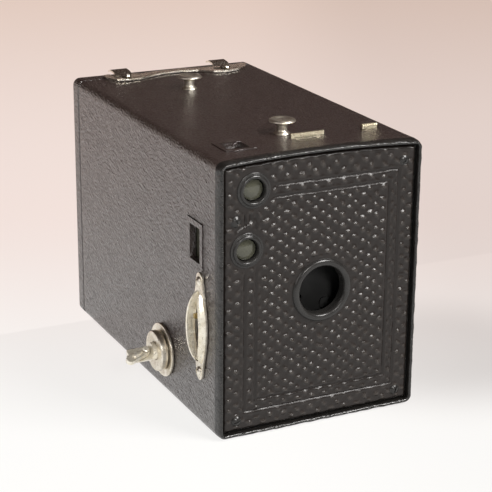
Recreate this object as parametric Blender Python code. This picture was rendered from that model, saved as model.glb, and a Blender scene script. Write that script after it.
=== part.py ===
"""A roll-film box camera for 6 x 9 cm pictures, built as the pieces it comes apart into.

Metres, +Z up. The front faces -Y, +X is to the right of someone who faces the front, and the
origin is the centre of the box's bottom face.
"""

import math

import bmesh
import bpy
from mathutils import Matrix, Vector

# ---------------------------------------------------------------- driving dimensions

BODY_W = 0.0800          # outer width, X
BODY_H = 0.1020          # outer height, Z
BODY_D = 0.1425          # outer depth with the door shut, Y
WALL = 0.0032            # card and leatherette wall
EDGE_R = 0.0022          # rounding of the long edges
GAP = 0.0003             # clearance between pieces that touch

FRONT_Y = -BODY_D / 2
BACK_Y = BODY_D / 2
LEFT_X = -BODY_W / 2
RIGHT_X = BODY_W / 2
TOP_Z = BODY_H
IN_X = BODY_W / 2 - WALL
IN_LOW = WALL
IN_TOP = BODY_H - WALL

PANEL_INSET = 0.0015     # front panel's face behind the rim
PANEL_T = 0.0012
RIM_W = 0.0026           # rim round the front panel
PANEL_Y = FRONT_Y + PANEL_INSET
LEDGE_Y = PANEL_Y + PANEL_T + GAP
LEDGE_T = 0.0040

LENS_X, LENS_Z = 0.0006, 0.0510
LENS_HOLE_R = 0.0095

DOOR_GAP_Y = 0.0640      # where the box ends and the door's rim begins
DOOR_RIM_T = 0.0014
DOOR_PLATE_T = 0.0016
SPIGOT_END_Y = 0.0685
HINGE_Y, HINGE_Z = 0.0640, 0.0011
HINGE_R = 0.0011

FINDER_TOP = (-0.0265, 0.0912)     # x, z of the two finder lenses
FINDER_SIDE = (-0.0290, 0.0700)
WINDOW_Y = -0.0512                 # both windows' middle, along the box

KEY_Y, KEY_Z = -0.0222, 0.0172
WING_PIN_RISE = 64.0     # the wing's pin stands this far above the horizontal, leaning to the front
WING_REST = 23.0         # the wing's swing off the post's own axis at rest
SUPPLY_Z = BODY_H - KEY_Z
GUARD_Y = -0.0565
GUARD_Z = 0.0390
GUARD_SCREW_Z = (0.0219, 0.0561)
LEVER_SLOT = (0.0255, 0.0475)
LEVER_PIVOT = (-0.0205, 0.0362)
DISC_PIVOT = (0.0095, 0.0400)
DISC_TURN = 68.0         # the disc's turn for one throw of the lever
STOP_STEP = 0.0075       # between two openings of the aperture slide

BOARD_Y = -0.0486        # front face of the shutter board
SLIDE_Y = -0.0500        # middle plane of the two slides
SLIDE_T = 0.0008
DISC_Y = -0.0556
LEVER_Y = -0.0567

CARRIER_X = 0.0354       # outer face of the carrier's side plates
CARRIER_T = 0.0010
CARRIER_FRONT = -0.0360
FILM_Y = 0.0600
GATE_W, GATE_H = 0.0570, 0.0830
SPOOL_R = 0.0126
SPOOL_HALF = 0.0327
ROLLER_R = 0.0021
ROLLER_Z = 0.0058
ROLLER_Y = FILM_Y - ROLLER_R

STUD_Y = (-0.0430, 0.0340)
STUD_X = (-0.0022, -0.0040)
LATCH_RIVETS = ((-0.0206, 0.0600), (0.0234, 0.0585))
LATCH_TRAVEL = 0.0040
RED_WINDOW = (0.0, 0.0330)         # x, z

SOCKET_R = 0.0068
SOCKET_BOTTOM_Y = -0.0300
SOCKET_SIDE = (-0.0040, 0.0510)
SOCKET_THREAD_R = 0.003175

PANEL_SCREWS = {
    "panel_screw_upper_right": (0.0329, 0.0950),
    "panel_screw_middle_left": (-0.0332, 0.0808),
    "panel_screw_lower_left": (-0.0325, 0.0062),
    "panel_screw_lower_right": (0.0327, 0.0062),
}

SEGMENTS = 28            # sides of a large round piece
SMALL_SEGMENTS = 14

# ---------------------------------------------------------------- materials

LOOKS = {
    "leatherette": ((0.055, 0.047, 0.047), 0.55, 0.0),
    "panel_black": ((0.040, 0.038, 0.038), 0.35, 0.0),
    "nickel": ((0.78, 0.74, 0.64), 0.28, 1.0),
    "brass": ((0.70, 0.52, 0.24), 0.35, 1.0),
    "steel": ((0.42, 0.42, 0.43), 0.35, 1.0),
    "black_metal": ((0.020, 0.020, 0.020), 0.50, 0.3),
    "glass": ((0.75, 0.78, 0.74), 0.05, 0.0),
    "mirror": ((0.85, 0.86, 0.87), 0.04, 1.0),
    "red_glass": ((0.45, 0.02, 0.01), 0.15, 0.0),
    "wood": ((0.36, 0.22, 0.11), 0.60, 0.0),
}


def material(look):
    found = bpy.data.materials.get(look)
    if found:
        return found
    colour, roughness, metallic = LOOKS[look]
    made = bpy.data.materials.new(look)
    made.use_nodes = True
    shader = made.node_tree.nodes["Principled BSDF"]
    shader.inputs["Base Color"].default_value = (*colour, 1.0)
    shader.inputs["Roughness"].default_value = roughness
    shader.inputs["Metallic"].default_value = metallic
    return made


# ---------------------------------------------------------------- shape helpers

# An outline is drawn in the plane across an axis: (y, z) for X, (x, z) for Y and (x, y) for Z.
PLACE = {
    "X": lambda u, v, w: (w, u, v),
    "Y": lambda u, v, w: (u, w, v),
    "Z": lambda u, v, w: (u, v, w),
}


def rectangle(u0, v0, u1, v1):
    return [(u0, v0), (u1, v0), (u1, v1), (u0, v1)]


def arc(cu, cv, radius, start, end, steps):
    """Points of an arc, in degrees, both ends included."""
    turns = [math.radians(start + (end - start) * i / steps) for i in range(steps + 1)]
    return [(cu + radius * math.cos(t), cv + radius * math.sin(t)) for t in turns]


def circle(cu, cv, radius, steps=SMALL_SEGMENTS):
    return arc(cu, cv, radius, 0, 360, steps)[:-1]


def rounded(u0, v0, u1, v1, radius, steps=3):
    corners = ((u1, v0, -90), (u1, v1, 0), (u0, v1, 90), (u0, v0, 180))
    outline = []
    for cu, cv, start in corners:
        inner_u = cu - radius if cu == u1 else cu + radius
        inner_v = cv - radius if cv == v1 else cv + radius
        outline += arc(inner_u, inner_v, radius, start, start + 90, steps)
    return outline


def capsule(u0, v0, u1, v1, radius, steps=6):
    """Outline of a bar with round ends, from one end's centre to the other's."""
    turn = math.degrees(math.atan2(v1 - v0, u1 - u0))
    return (arc(u1, v1, radius, turn - 90, turn + 90, steps)
            + arc(u0, v0, radius, turn + 90, turn + 270, steps))


def finish_mesh(bm, name, look, smooth_angle=35):
    bmesh.ops.recalc_face_normals(bm, faces=bm.faces)
    mesh = bpy.data.meshes.new(name)
    bm.to_mesh(mesh)
    bm.free()
    mesh.shade_smooth()
    mesh.set_sharp_from_angle(angle=math.radians(smooth_angle))
    obj = bpy.data.objects.new(name, mesh)
    obj.data.materials.append(material(look))
    bpy.context.scene.collection.objects.link(obj)
    return obj


def prism(name, outline, axis, start, end, look):
    """A straight prism: the outline pushed along the axis from start to end."""
    bm = bmesh.new()
    base = [bm.verts.new(PLACE[axis](u, v, start)) for u, v in outline]
    face = bm.faces.new(base)
    moved = bmesh.ops.extrude_face_region(bm, geom=[face])
    shift = Vector(PLACE[axis](0, 0, end - start))
    for element in moved["geom"]:
        if isinstance(element, bmesh.types.BMVert):
            element.co += shift
    return finish_mesh(bm, name, look)


def block(name, low, high, look):
    return prism(name, rectangle(low[0], low[1], high[0], high[1]), "Z", low[2], high[2], look)


def turned(name, profile, axis, centre, look, steps=SEGMENTS, closed=False, smooth_angle=35):
    """A body turned about an axis: the profile lists (place along the axis, radius).

    A closed profile makes a ring; an open one starts and ends on the axis.
    """
    bm = bmesh.new()
    rings = []
    for along, radius in profile:
        if radius == 0:
            rings.append([bm.verts.new(PLACE[axis](*centre, along))])
        else:
            rings.append([bm.verts.new(PLACE[axis](u, v, along))
                          for u, v in circle(*centre, radius, steps)])
    pairs = list(zip(rings, rings[1:]))
    if closed:
        pairs.append((rings[-1], rings[0]))
    for first, second in pairs:
        for i in range(steps):
            j = (i + 1) % steps
            corners = [first[i % len(first)], first[j % len(first)], second[j % len(second)],
                       second[i % len(second)]]
            distinct = list(dict.fromkeys(corners))
            bm.faces.new(distinct)
    return finish_mesh(bm, name, look, smooth_angle)


def boolean(target, tool, operation):
    tool.hide_render = True
    tool.display_type = "WIRE"
    modifier = target.modifiers.new(f"{operation} {tool.name}", "BOOLEAN")
    modifier.operation = operation
    modifier.object = tool
    modifier.solver = "EXACT"


def cut(target, *tools):
    for tool in tools:
        boolean(target, tool, "DIFFERENCE")


def join(target, *tools):
    for tool in tools:
        boolean(target, tool, "UNION")


def hang_on(empty, *objects):
    """Give pieces the joint's empty as parent, and leave them where they are."""
    for obj in objects:
        obj.parent = empty
        obj.matrix_parent_inverse = empty.matrix_world.inverted()


def joint_empty(name, place):
    empty = bpy.data.objects.new(name, None)
    empty.location = place
    bpy.context.scene.collection.objects.link(empty)
    bpy.context.view_layer.update()
    return empty


def round_screw(name, axis, centre, face, outward, radius, height, shank, depth, look="nickel"):
    """A round-head screw with a slot: its head stands on a face and its shank goes in."""
    dome = [(face + outward * height * math.sin(math.radians(a)), radius * math.cos(math.radians(a)))
            for a in (15, 40, 65)]
    under = face + outward * GAP
    profile = [(face + outward * height, 0), *reversed(dome), (under, radius), (under, shank),
               (face - outward * depth, shank), (face - outward * depth, 0)]
    screw = turned(name, profile, axis, centre, look, SMALL_SEGMENTS)
    slot_half = radius * 0.13
    slot = prism(f"{name}_slot", rectangle(centre[0] - radius * 1.2, centre[1] - slot_half,
                                           centre[0] + radius * 1.2, centre[1] + slot_half),
                 axis, face + outward * height * 0.62, face + outward * height * 1.5, look)
    cut(screw, slot)
    return screw


# ---------------------------------------------------------------- box and front


def front_opening():
    """Opening behind the front panel, with a lug left standing for each of its four screws."""
    left, right, low, high = -IN_X + 0.001, IN_X - 0.001, IN_LOW + 0.001, IN_TOP - 0.001
    lug = 0.0060
    middle = PANEL_SCREWS["panel_screw_middle_left"][1]
    return [(left + lug, low), (right - lug, low), (right - lug, low + lug), (right, low + lug),
            (right, high - lug), (right - lug, high - lug), (right - lug, high), (left, high),
            (left, middle + 0.0024), (left + lug, middle + 0.0024), (left + lug, middle - 0.0024),
            (left, middle - 0.0024), (left, low + lug), (left + lug, low + lug)]


def make_body_shell():
    shell = prism("body_shell", rounded(LEFT_X, 0, RIGHT_X, TOP_Z, EDGE_R), "Y", FRONT_Y, DOOR_GAP_Y,
                  "leatherette")
    bevel = shell.modifiers.new("rim rounding", "BEVEL")
    bevel.width = 0.0011
    bevel.segments = 2
    bevel.limit_method = "ANGLE"
    bevel.angle_limit = math.radians(60)
    inside = rectangle(-IN_X, IN_LOW, IN_X, IN_TOP)
    cut(shell,
        prism("cut_rear_room", inside, "Y", LEDGE_Y + LEDGE_T, BACK_Y, "leatherette"),
        prism("cut_front_room", front_opening(), "Y", FRONT_Y - 0.001, LEDGE_Y + LEDGE_T + 0.001,
              "leatherette"),
        prism("cut_panel_seat", rounded(LEFT_X + RIM_W, RIM_W, RIGHT_X - RIM_W, TOP_Z - RIM_W, 0.0012),
              "Y", FRONT_Y - 0.001, LEDGE_Y, "leatherette"))
    # spigot that the door's rim closes over
    outer = DOOR_RIM_T + 0.0004
    spigot = prism("add_spigot", rounded(LEFT_X + outer, outer, RIGHT_X - outer, TOP_Z - outer, 0.0010),
                   "Y", DOOR_GAP_Y - 0.010, SPIGOT_END_Y, "leatherette")
    cut(spigot, prism("cut_spigot", inside, "Y", DOOR_GAP_Y - 0.020, BACK_Y, "leatherette"))
    join(shell, spigot)
    # hinge groove along the bottom rear edge
    cut(shell, block("cut_hinge_groove", (-0.0320, HINGE_Y - HINGE_R - 0.0004, -0.001),
                     (0.0320, BACK_Y, IN_LOW + 0.0010), "leatherette"))
    # holes in the top: finder window, two slides, two strap studs
    frame_half = 0.0062
    cut(shell,
        block("cut_window_top", (-0.0252 - frame_half, WINDOW_Y - frame_half, TOP_Z - 0.006),
              (-0.0252 + frame_half, WINDOW_Y + frame_half, TOP_Z + 0.002), "leatherette"),
        block("cut_aperture_slot", (-0.0028, SLIDE_Y - 0.0008, TOP_Z - 0.006),
              (0.0113, SLIDE_Y + 0.0008, TOP_Z + 0.002), "leatherette"),
        block("cut_time_slot", (0.0261, SLIDE_Y - 0.0008, TOP_Z - 0.006),
              (0.0333, SLIDE_Y + 0.0008, TOP_Z + 0.002), "leatherette"))
    for i in range(2):
        cut(shell, prism(f"cut_stud_{i}", circle(STUD_X[i], STUD_Y[i], 0.0016, 12), "Z",
                         TOP_Z - 0.006, TOP_Z + 0.002, "leatherette"))
    for i, (x, y) in enumerate(LATCH_RIVETS):
        cut(shell, prism(f"cut_rivet_{i}", circle(x, y, 0.0013, 12), "Z", TOP_Z - 0.006, TOP_Z + 0.002,
                         "leatherette"))
    # holes in the left side: finder window, lever slot, guard screws, key
    cut(shell,
        block("cut_window_side", (LEFT_X - 0.002, WINDOW_Y - 0.0066, 0.0596),
              (LEFT_X + 0.006, WINDOW_Y + 0.0066, 0.0772), "leatherette"),
        block("cut_lever_slot", (LEFT_X - 0.002, GUARD_Y - 0.0016, LEVER_SLOT[0] - 0.001),
              (LEFT_X + 0.006, GUARD_Y + 0.0016, LEVER_SLOT[1] + 0.001), "leatherette"),
        prism("cut_key_hole", circle(KEY_Y, KEY_Z, 0.0057, SEGMENTS), "X", LEFT_X - 0.002, LEFT_X + 0.006,
              "leatherette"))
    for i, z in enumerate(GUARD_SCREW_Z):
        cut(shell, prism(f"cut_guard_screw_{i}", circle(GUARD_Y, z, 0.0011, 12), "X", LEFT_X - 0.002,
                         LEFT_X + 0.006, "leatherette"))
    # tripod sockets: bottom and right side
    cut(shell,
        prism("cut_socket_bottom", circle(0, SOCKET_BOTTOM_Y, SOCKET_R + GAP, SEGMENTS), "Z", -0.002, 0.006,
              "leatherette"),
        prism("cut_socket_side", circle(SOCKET_SIDE[0], SOCKET_SIDE[1], SOCKET_R + GAP, SEGMENTS), "X",
              RIGHT_X - 0.006, RIGHT_X + 0.002, "leatherette"))
    # pilot holes of the panel's screws
    for i, (x, z) in enumerate(PANEL_SCREWS.values()):
        cut(shell, prism(f"cut_pilot_{i}", circle(x, z, 0.0010, 10), "Y", LEDGE_Y - 0.001,
                         LEDGE_Y + LEDGE_T + 0.002, "leatherette"))
    return shell


def make_front():
    low = RIM_W + GAP
    panel = prism("front_panel", rounded(LEFT_X + low, low, RIGHT_X - low, TOP_Z - low, 0.0010), "Y",
                  PANEL_Y, PANEL_Y + PANEL_T, "panel_black")
    cut(panel, prism("cut_lens_hole", circle(LENS_X, LENS_Z, 0.0102, SEGMENTS), "Y", PANEL_Y - 0.002,
                     PANEL_Y + 0.004, "panel_black"))
    for i, (x, z) in enumerate((FINDER_TOP, FINDER_SIDE)):
        cut(panel, prism(f"cut_finder_{i}", circle(x, z, 0.0050, 24), "Y", PANEL_Y - 0.002, PANEL_Y + 0.004,
                         "panel_black"))
    for i, (x, z) in enumerate(PANEL_SCREWS.values()):
        cut(panel, prism(f"cut_panel_screw_{i}", circle(x, z, 0.0011, 10), "Y", PANEL_Y - 0.002,
                         PANEL_Y + 0.004, "panel_black"))
    for name, (x, z) in PANEL_SCREWS.items():
        round_screw(name, "Y", (x, z), PANEL_Y, -1, 0.0021, 0.0011, 0.0008, 0.0040)

    # rolled eyelet of the lens hole: a bead in front, a sleeve through, a turned-out lip behind
    bead = [(PANEL_Y - GAP, 0.0099), (PANEL_Y - GAP, 0.0114), (PANEL_Y - 0.0008, 0.0117),
            (PANEL_Y - 0.0013, 0.0110), (PANEL_Y - 0.0013, 0.0101), (PANEL_Y - 0.0006, LENS_HOLE_R)]
    sleeve = [(PANEL_Y + 0.0030, LENS_HOLE_R), (PANEL_Y + 0.0030, 0.0099)]
    turned("lens_ring", bead + sleeve, "Y", (LENS_X, LENS_Z), "panel_black", SEGMENTS, closed=True)

    for level, (x, z) in (("upper", FINDER_TOP), ("lower", FINDER_SIDE)):
        ring = [(PANEL_Y - GAP, 0.0047), (PANEL_Y - GAP, 0.0064), (PANEL_Y - 0.0008, 0.0065),
                (PANEL_Y - 0.0012, 0.0058), (PANEL_Y - 0.0010, 0.0046), (PANEL_Y + 0.0002, 0.0041),
                (PANEL_Y + 0.0022, 0.0041), (PANEL_Y + 0.0022, 0.0047)]
        turned(f"finder_ring_{level}", ring, "Y", (x, z), "panel_black", 20, closed=True)
        lens = [(PANEL_Y + 0.0003, 0), (PANEL_Y + 0.0005, 0.0020), (PANEL_Y + 0.0010, 0.0037),
                (PANEL_Y + 0.0020, 0.0037), (PANEL_Y + 0.0020, 0)]
        turned(f"finder_lens_{level}", lens, "Y", (x, z), "glass", 20)


def make_finders():
    """Light box, 45 degree mirrors, ground screens and the window frames."""
    wall = 0.0008
    right = -0.0171
    back = -0.0430
    front = LEDGE_Y + LEDGE_T + GAP
    outer = -IN_X + GAP
    low, mid, high = 0.0590, 0.0808, IN_TOP - GAP
    outline = [(outer, low), (right, low), (right, high), (right - wall, high), (right - wall, mid + wall),
               (outer, mid + wall), (outer, mid), (right - wall, mid), (right - wall, low + wall),
               (outer, low + wall)]
    housing = prism("finder_housing", outline, "Y", front, back, "black_metal")
    join(housing,
         prism("add_finder_back", rectangle(outer, low, right, high), "Y", back - wall, back + 0.0001,
                        "black_metal"))

    thick = 0.0011
    reach = 0.0058
    up_y, up_z = WINDOW_Y, FINDER_TOP[1] - 0.0005
    mirror = [(up_y - reach, up_z - reach), (up_y - reach + thick, up_z - reach),
              (up_y + reach + thick, up_z + reach), (up_y + reach, up_z + reach)]
    prism("finder_mirror_upper", mirror, "X", FINDER_TOP[0] - 0.0060, FINDER_TOP[0] + 0.0060, "mirror")
    side_x = FINDER_SIDE[0]
    mirror = [(side_x - reach, WINDOW_Y + reach), (side_x + reach, WINDOW_Y - reach),
              (side_x + reach, WINDOW_Y - reach + thick), (side_x - reach, WINDOW_Y + reach + thick)]
    prism("finder_mirror_lower", mirror, "Z", 0.0622, 0.0786, "mirror")

    half = 0.0062 - GAP
    frame = block("finder_frame_top", (-0.0252 - half, WINDOW_Y - half, TOP_Z - 0.0022),
                  (-0.0252 + half, WINDOW_Y + half, TOP_Z + 0.0003), "leatherette")
    cut(frame, block("cut_frame_top", (-0.0252 - 0.0042, WINDOW_Y - 0.0042, TOP_Z - 0.006),
                     (-0.0252 + 0.0042, WINDOW_Y + 0.0042, TOP_Z + 0.002), "leatherette"))
    block("finder_screen_top", (-0.0252 - half, WINDOW_Y - half, TOP_Z - 0.0034),
          (-0.0252 + half, WINDOW_Y + half, TOP_Z - 0.0025), "glass")
    half_y, half_z, mid_z = 0.0066 - GAP, 0.0088 - GAP, 0.0684
    frame = block("finder_frame_side", (LEFT_X - 0.0003, WINDOW_Y - half_y, mid_z - half_z),
                  (LEFT_X + 0.0022, WINDOW_Y + half_y, mid_z + half_z), "leatherette")
    cut(frame, block("cut_frame_side", (LEFT_X - 0.002, WINDOW_Y - 0.0042, mid_z - 0.0065),
                     (LEFT_X + 0.006, WINDOW_Y + 0.0042, mid_z + 0.0065), "leatherette"))
    block("finder_screen_side", (LEFT_X + 0.0025, WINDOW_Y - half_y, mid_z - half_z),
          (LEFT_X + 0.0032, WINDOW_Y + half_y, mid_z + half_z), "glass")


# ---------------------------------------------------------------- shutter


def make_shutter():
    left, right = -IN_X + GAP, IN_X - GAP
    low, high = IN_LOW + GAP, IN_TOP - GAP
    notch_x, notch_z = -0.0166, 0.0585
    outline = [(left, low), (right, low), (right, high), (notch_x, high), (notch_x, notch_z),
               (left, notch_z)]
    board_t = 0.0015
    board = prism("shutter_board", outline, "Y", BOARD_Y, BOARD_Y + board_t, "black_metal")
    cut(board, prism("cut_board_lens", circle(LENS_X, LENS_Z, 0.0065, 24), "Y", BOARD_Y - 0.002,
                     BOARD_Y + 0.004, "black_metal"))

    # cover that keeps both slides against the board, with a channel for each
    cover_front, cover_back = SLIDE_Y - 0.0022, BOARD_Y - GAP
    cover = prism("slide_cover", rectangle(-0.0115, 0.0060, 0.0355, 0.0975), "Y", cover_front, cover_back,
                  "black_metal")
    channel_y = (SLIDE_Y - 0.0008, cover_back + 0.001)
    channel = [(-0.0085, 0.0080), (0.0113, 0.0080), (0.0113, 0.1000), (-0.0028, 0.1000),
               (-0.0028, 0.0800), (-0.0085, 0.0800)]
    cut(cover,
        prism("cut_aperture_channel", channel, "Y", *channel_y, "black_metal"),
        prism("cut_time_channel", rectangle(0.0261, 0.0500, 0.0333, 0.1000), "Y", *channel_y,
              "black_metal"),
        prism("cut_cover_lens", circle(LENS_X, LENS_Z, 0.0065, 24), "Y", cover_front - 0.002,
              cover_back + 0.002,
              "black_metal"))

    # aperture slide: three stops, the largest behind the lens hole at rest
    low_z, tab_z = 0.0290, TOP_Z + 0.0016
    slide = prism("aperture_slide", [(-0.0082, low_z), (0.0109, low_z), (0.0109, tab_z), (-0.0024, tab_z),
                                     (-0.0024, 0.0630), (-0.0082, 0.0630)], "Y",
                  SLIDE_Y - SLIDE_T / 2, SLIDE_Y + SLIDE_T / 2, "brass")
    for i, radius in enumerate((0.0045, 0.0032, 0.0023)):
        cut(slide, prism(f"cut_stop_{i}", circle(LENS_X, LENS_Z - i * STOP_STEP, radius, 20), "Y",
                         SLIDE_Y - 0.002, SLIDE_Y + 0.002, "brass"))
    hang_on(joint_empty("aperture_slide_axis", (LENS_X, SLIDE_Y, TOP_Z)), slide)

    time = prism("time_slide", rectangle(0.0265, 0.0640, 0.0329, TOP_Z + 0.0012), "Y",
                 SLIDE_Y - SLIDE_T / 2, SLIDE_Y + SLIDE_T / 2, "nickel")
    join(time,
         prism("add_time_roll", circle(SLIDE_Y, TOP_Z + 0.0014, 0.0007, 10), "X", 0.0265, 0.0329, "nickel"))
    hang_on(joint_empty("time_slide_axis", (0.0297, SLIDE_Y, TOP_Z)), time)

    # rotary disc: one slot, closed at both ends of the lever's throw
    disc_t = 0.0005
    disc = prism("shutter_disc", circle(*DISC_PIVOT, 0.0213, SEGMENTS), "Y", DISC_Y - disc_t / 2,
                 DISC_Y + disc_t / 2, "black_metal")
    lens_turn = math.degrees(math.atan2(LENS_Z - DISC_PIVOT[1], LENS_X - DISC_PIVOT[0]))
    lens_reach = math.hypot(LENS_Z - DISC_PIVOT[1], LENS_X - DISC_PIVOT[0])
    middle = lens_turn + DISC_TURN / 2
    slot = (arc(*DISC_PIVOT, lens_reach + 0.0042, middle - 7, middle + 7, 3)
            + arc(*DISC_PIVOT, lens_reach - 0.0042, middle + 7, middle - 7, 3))
    cut(disc,
        prism("cut_disc_slot", slot, "Y", DISC_Y - 0.001, DISC_Y + 0.001, "black_metal"),
        prism("cut_disc_pivot", circle(*DISC_PIVOT, 0.0014, 12), "Y", DISC_Y - 0.001, DISC_Y + 0.001,
              "black_metal"))
    hang_on(joint_empty("shutter_disc_axis", (DISC_PIVOT[0], DISC_Y, DISC_PIVOT[1])), disc)
    washer = cover_front - GAP
    pivot = [(DISC_Y - 0.0012, 0), (DISC_Y - 0.0010, 0.0022), (DISC_Y - disc_t / 2 - GAP, 0.0022),
             (DISC_Y - disc_t / 2 - GAP, 0.0011), (washer, 0.0011), (washer, 0)]
    turned("disc_pivot", pivot, "Y", DISC_PIVOT, "brass", SMALL_SEGMENTS)

    # lever: a thumb tip outside the box, a hub, and a short arm that throws the spring
    lever_t = 0.0009
    tip_x, tip_z = LEFT_X - 0.0032, 0.0432
    arm = [(tip_x, tip_z - 0.0005), (tip_x + 0.0030, tip_z - 0.0013),
           (LEVER_PIVOT[0], LEVER_PIVOT[1] - 0.0022),
           (LEVER_PIVOT[0] + 0.0100, LEVER_PIVOT[1] - 0.0012),
           (LEVER_PIVOT[0] + 0.0100, LEVER_PIVOT[1] + 0.0006),
           (LEVER_PIVOT[0], LEVER_PIVOT[1] + 0.0022), (tip_x + 0.0030, tip_z + 0.0013),
           (tip_x, tip_z + 0.0011)]
    lever = prism("shutter_lever", arm, "Y", LEVER_Y - lever_t / 2, LEVER_Y + lever_t / 2, "brass")
    hub = prism("add_lever_hub", circle(*LEVER_PIVOT, 0.0030, SMALL_SEGMENTS), "Y", LEVER_Y - lever_t / 2,
                LEVER_Y + lever_t / 2, "brass")
    join(lever, hub)
    cut(lever, prism("cut_lever_pivot", circle(*LEVER_PIVOT, 0.0014, 12), "Y", LEVER_Y - 0.002,
                     LEVER_Y + 0.002, "brass"))
    hang_on(joint_empty("shutter_lever_axis", (LEVER_PIVOT[0], LEVER_Y, LEVER_PIVOT[1])), lever)
    behind = BOARD_Y - GAP
    pivot = [(LEVER_Y - 0.0016, 0), (LEVER_Y - 0.0014, 0.0024), (LEVER_Y - lever_t / 2 - GAP, 0.0024),
             (LEVER_Y - lever_t / 2 - GAP, 0.0011), (LEVER_Y + lever_t / 2 + GAP, 0.0011),
             (LEVER_Y + lever_t / 2 + GAP, 0.0026), (behind, 0.0026), (behind, 0)]
    turned("lever_pivot", pivot, "Y", LEVER_PIVOT, "brass", SMALL_SEGMENTS)

    # over-centre wire spring between the lever's arm and the disc
    wire = 0.0003
    start = (LEVER_PIVOT[0] + 0.0096, LEVER_PIVOT[1] + 0.0010)
    spring_y = LEVER_Y - 0.0001
    loop = arc(start[0] + 0.0020, start[1], 0.0020, 180, 0, 8)
    inner = arc(start[0] + 0.0020, start[1], 0.0020 - 2 * wire, 0, 180, 8)
    prism("shutter_spring", loop + inner, "Y", spring_y - wire, spring_y + wire, "steel")

    # meniscus lens behind the board, hollow side to the front
    front = BOARD_Y + board_t + GAP
    retainer = [(front, 0.0070), (front, 0.0100), (front + 0.0042, 0.0100), (front + 0.0042, 0.0072),
                (front + 0.0034, 0.0072), (front + 0.0034, 0.0088), (front + 0.0008, 0.0088),
                (front + 0.0008, 0.0070)]
    turned("lens_retainer", retainer, "Y", (LENS_X, LENS_Z), "brass", 20, closed=True)
    lens = [(front + 0.0018, 0), (front + 0.0016, 0.0040), (front + 0.0011, 0.0080),
            (front + 0.0011, 0.0085),
            (front + 0.0022, 0.0085), (front + 0.0029, 0.0045), (front + 0.0031, 0)]
    turned("lens", lens, "Y", (LENS_X, LENS_Z), "glass", 20)


# ---------------------------------------------------------------- side fittings


def make_lever_guard():
    """Nickel guard: a leaf-shaped plate with a solid crescent cheek on each side of the lever's slot."""
    half_len, half_w, end_r = 0.0200, 0.0057, 0.0024
    face, lift = LEFT_X - GAP, 0.0008
    side = []
    steps = 10
    for i in range(steps + 1):
        t = -1 + 2 * i / steps
        side.append((GUARD_Y + end_r + (half_w - end_r) * math.cos(t * math.pi / 2) ** 1.2,
                     GUARD_Z + t * (half_len - end_r)))
    top = arc(GUARD_Y, GUARD_Z + half_len - end_r, end_r, 30, 150, 4)
    bottom = arc(GUARD_Y, GUARD_Z - half_len + end_r, end_r, 210, 330, 4)
    mirrored = [(2 * GUARD_Y - y, z) for y, z in reversed(side)]
    guard = prism("lever_guard", side + top + mirrored + bottom, "X", face, face - lift, "nickel")

    # cheeks: crescents that stand out of the plate, higher in the middle
    cheek_half = 0.0133
    for name, sign in (("front", -1), ("rear", 1)):
        bm = bmesh.new()
        rings = []
        for i in range(9):
            t = -1 + 2 * i / 8
            z = GUARD_Z - 0.0002 + t * cheek_half
            bulge = math.sqrt(max(0.0, 1 - t * t * 0.93))
            inner_y = GUARD_Y + sign * 0.0013
            outer_y = GUARD_Y + sign * (0.0016 + 0.0038 * bulge)
            crest_y = GUARD_Y + sign * (0.0016 + 0.0012 * bulge)
            base, crest = face - lift * 0.4, face - lift - 0.0036 * bulge
            ring = [(base, inner_y, z), (crest + 0.0006, inner_y, z), (crest, crest_y, z),
                    (crest + 0.0012 * bulge, (crest_y + outer_y) / 2, z), (base, outer_y, z)]
            rings.append([bm.verts.new(p) for p in ring])
        for first, second in zip(rings, rings[1:]):
            for k in range(5):
                bm.faces.new([first[k], first[(k + 1) % 5], second[(k + 1) % 5], second[k]])
        bm.faces.new(rings[0])
        bm.faces.new(list(reversed(rings[-1])))
        join(guard, finish_mesh(bm, f"add_cheek_{name}", "nickel"))
    slot = capsule(GUARD_Y, LEVER_SLOT[0] + 0.0008, GUARD_Y, LEVER_SLOT[1] - 0.0008, 0.0011)
    cut(guard, prism("cut_guard_slot", slot, "X", face + 0.002, face - 0.010, "nickel"))
    for i, z in enumerate(GUARD_SCREW_Z):
        cut(guard, prism(f"cut_guard_hole_{i}", circle(GUARD_Y, z, 0.0011, 12), "X", face + 0.002,
                         face - 0.004, "nickel"))
    for name, z in zip(("guard_screw_lower", "guard_screw_upper"), GUARD_SCREW_Z):
        round_screw(name, "X", (GUARD_Y, z), face - lift, -1, 0.0019, 0.0011, 0.0008, 0.0038)


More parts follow.
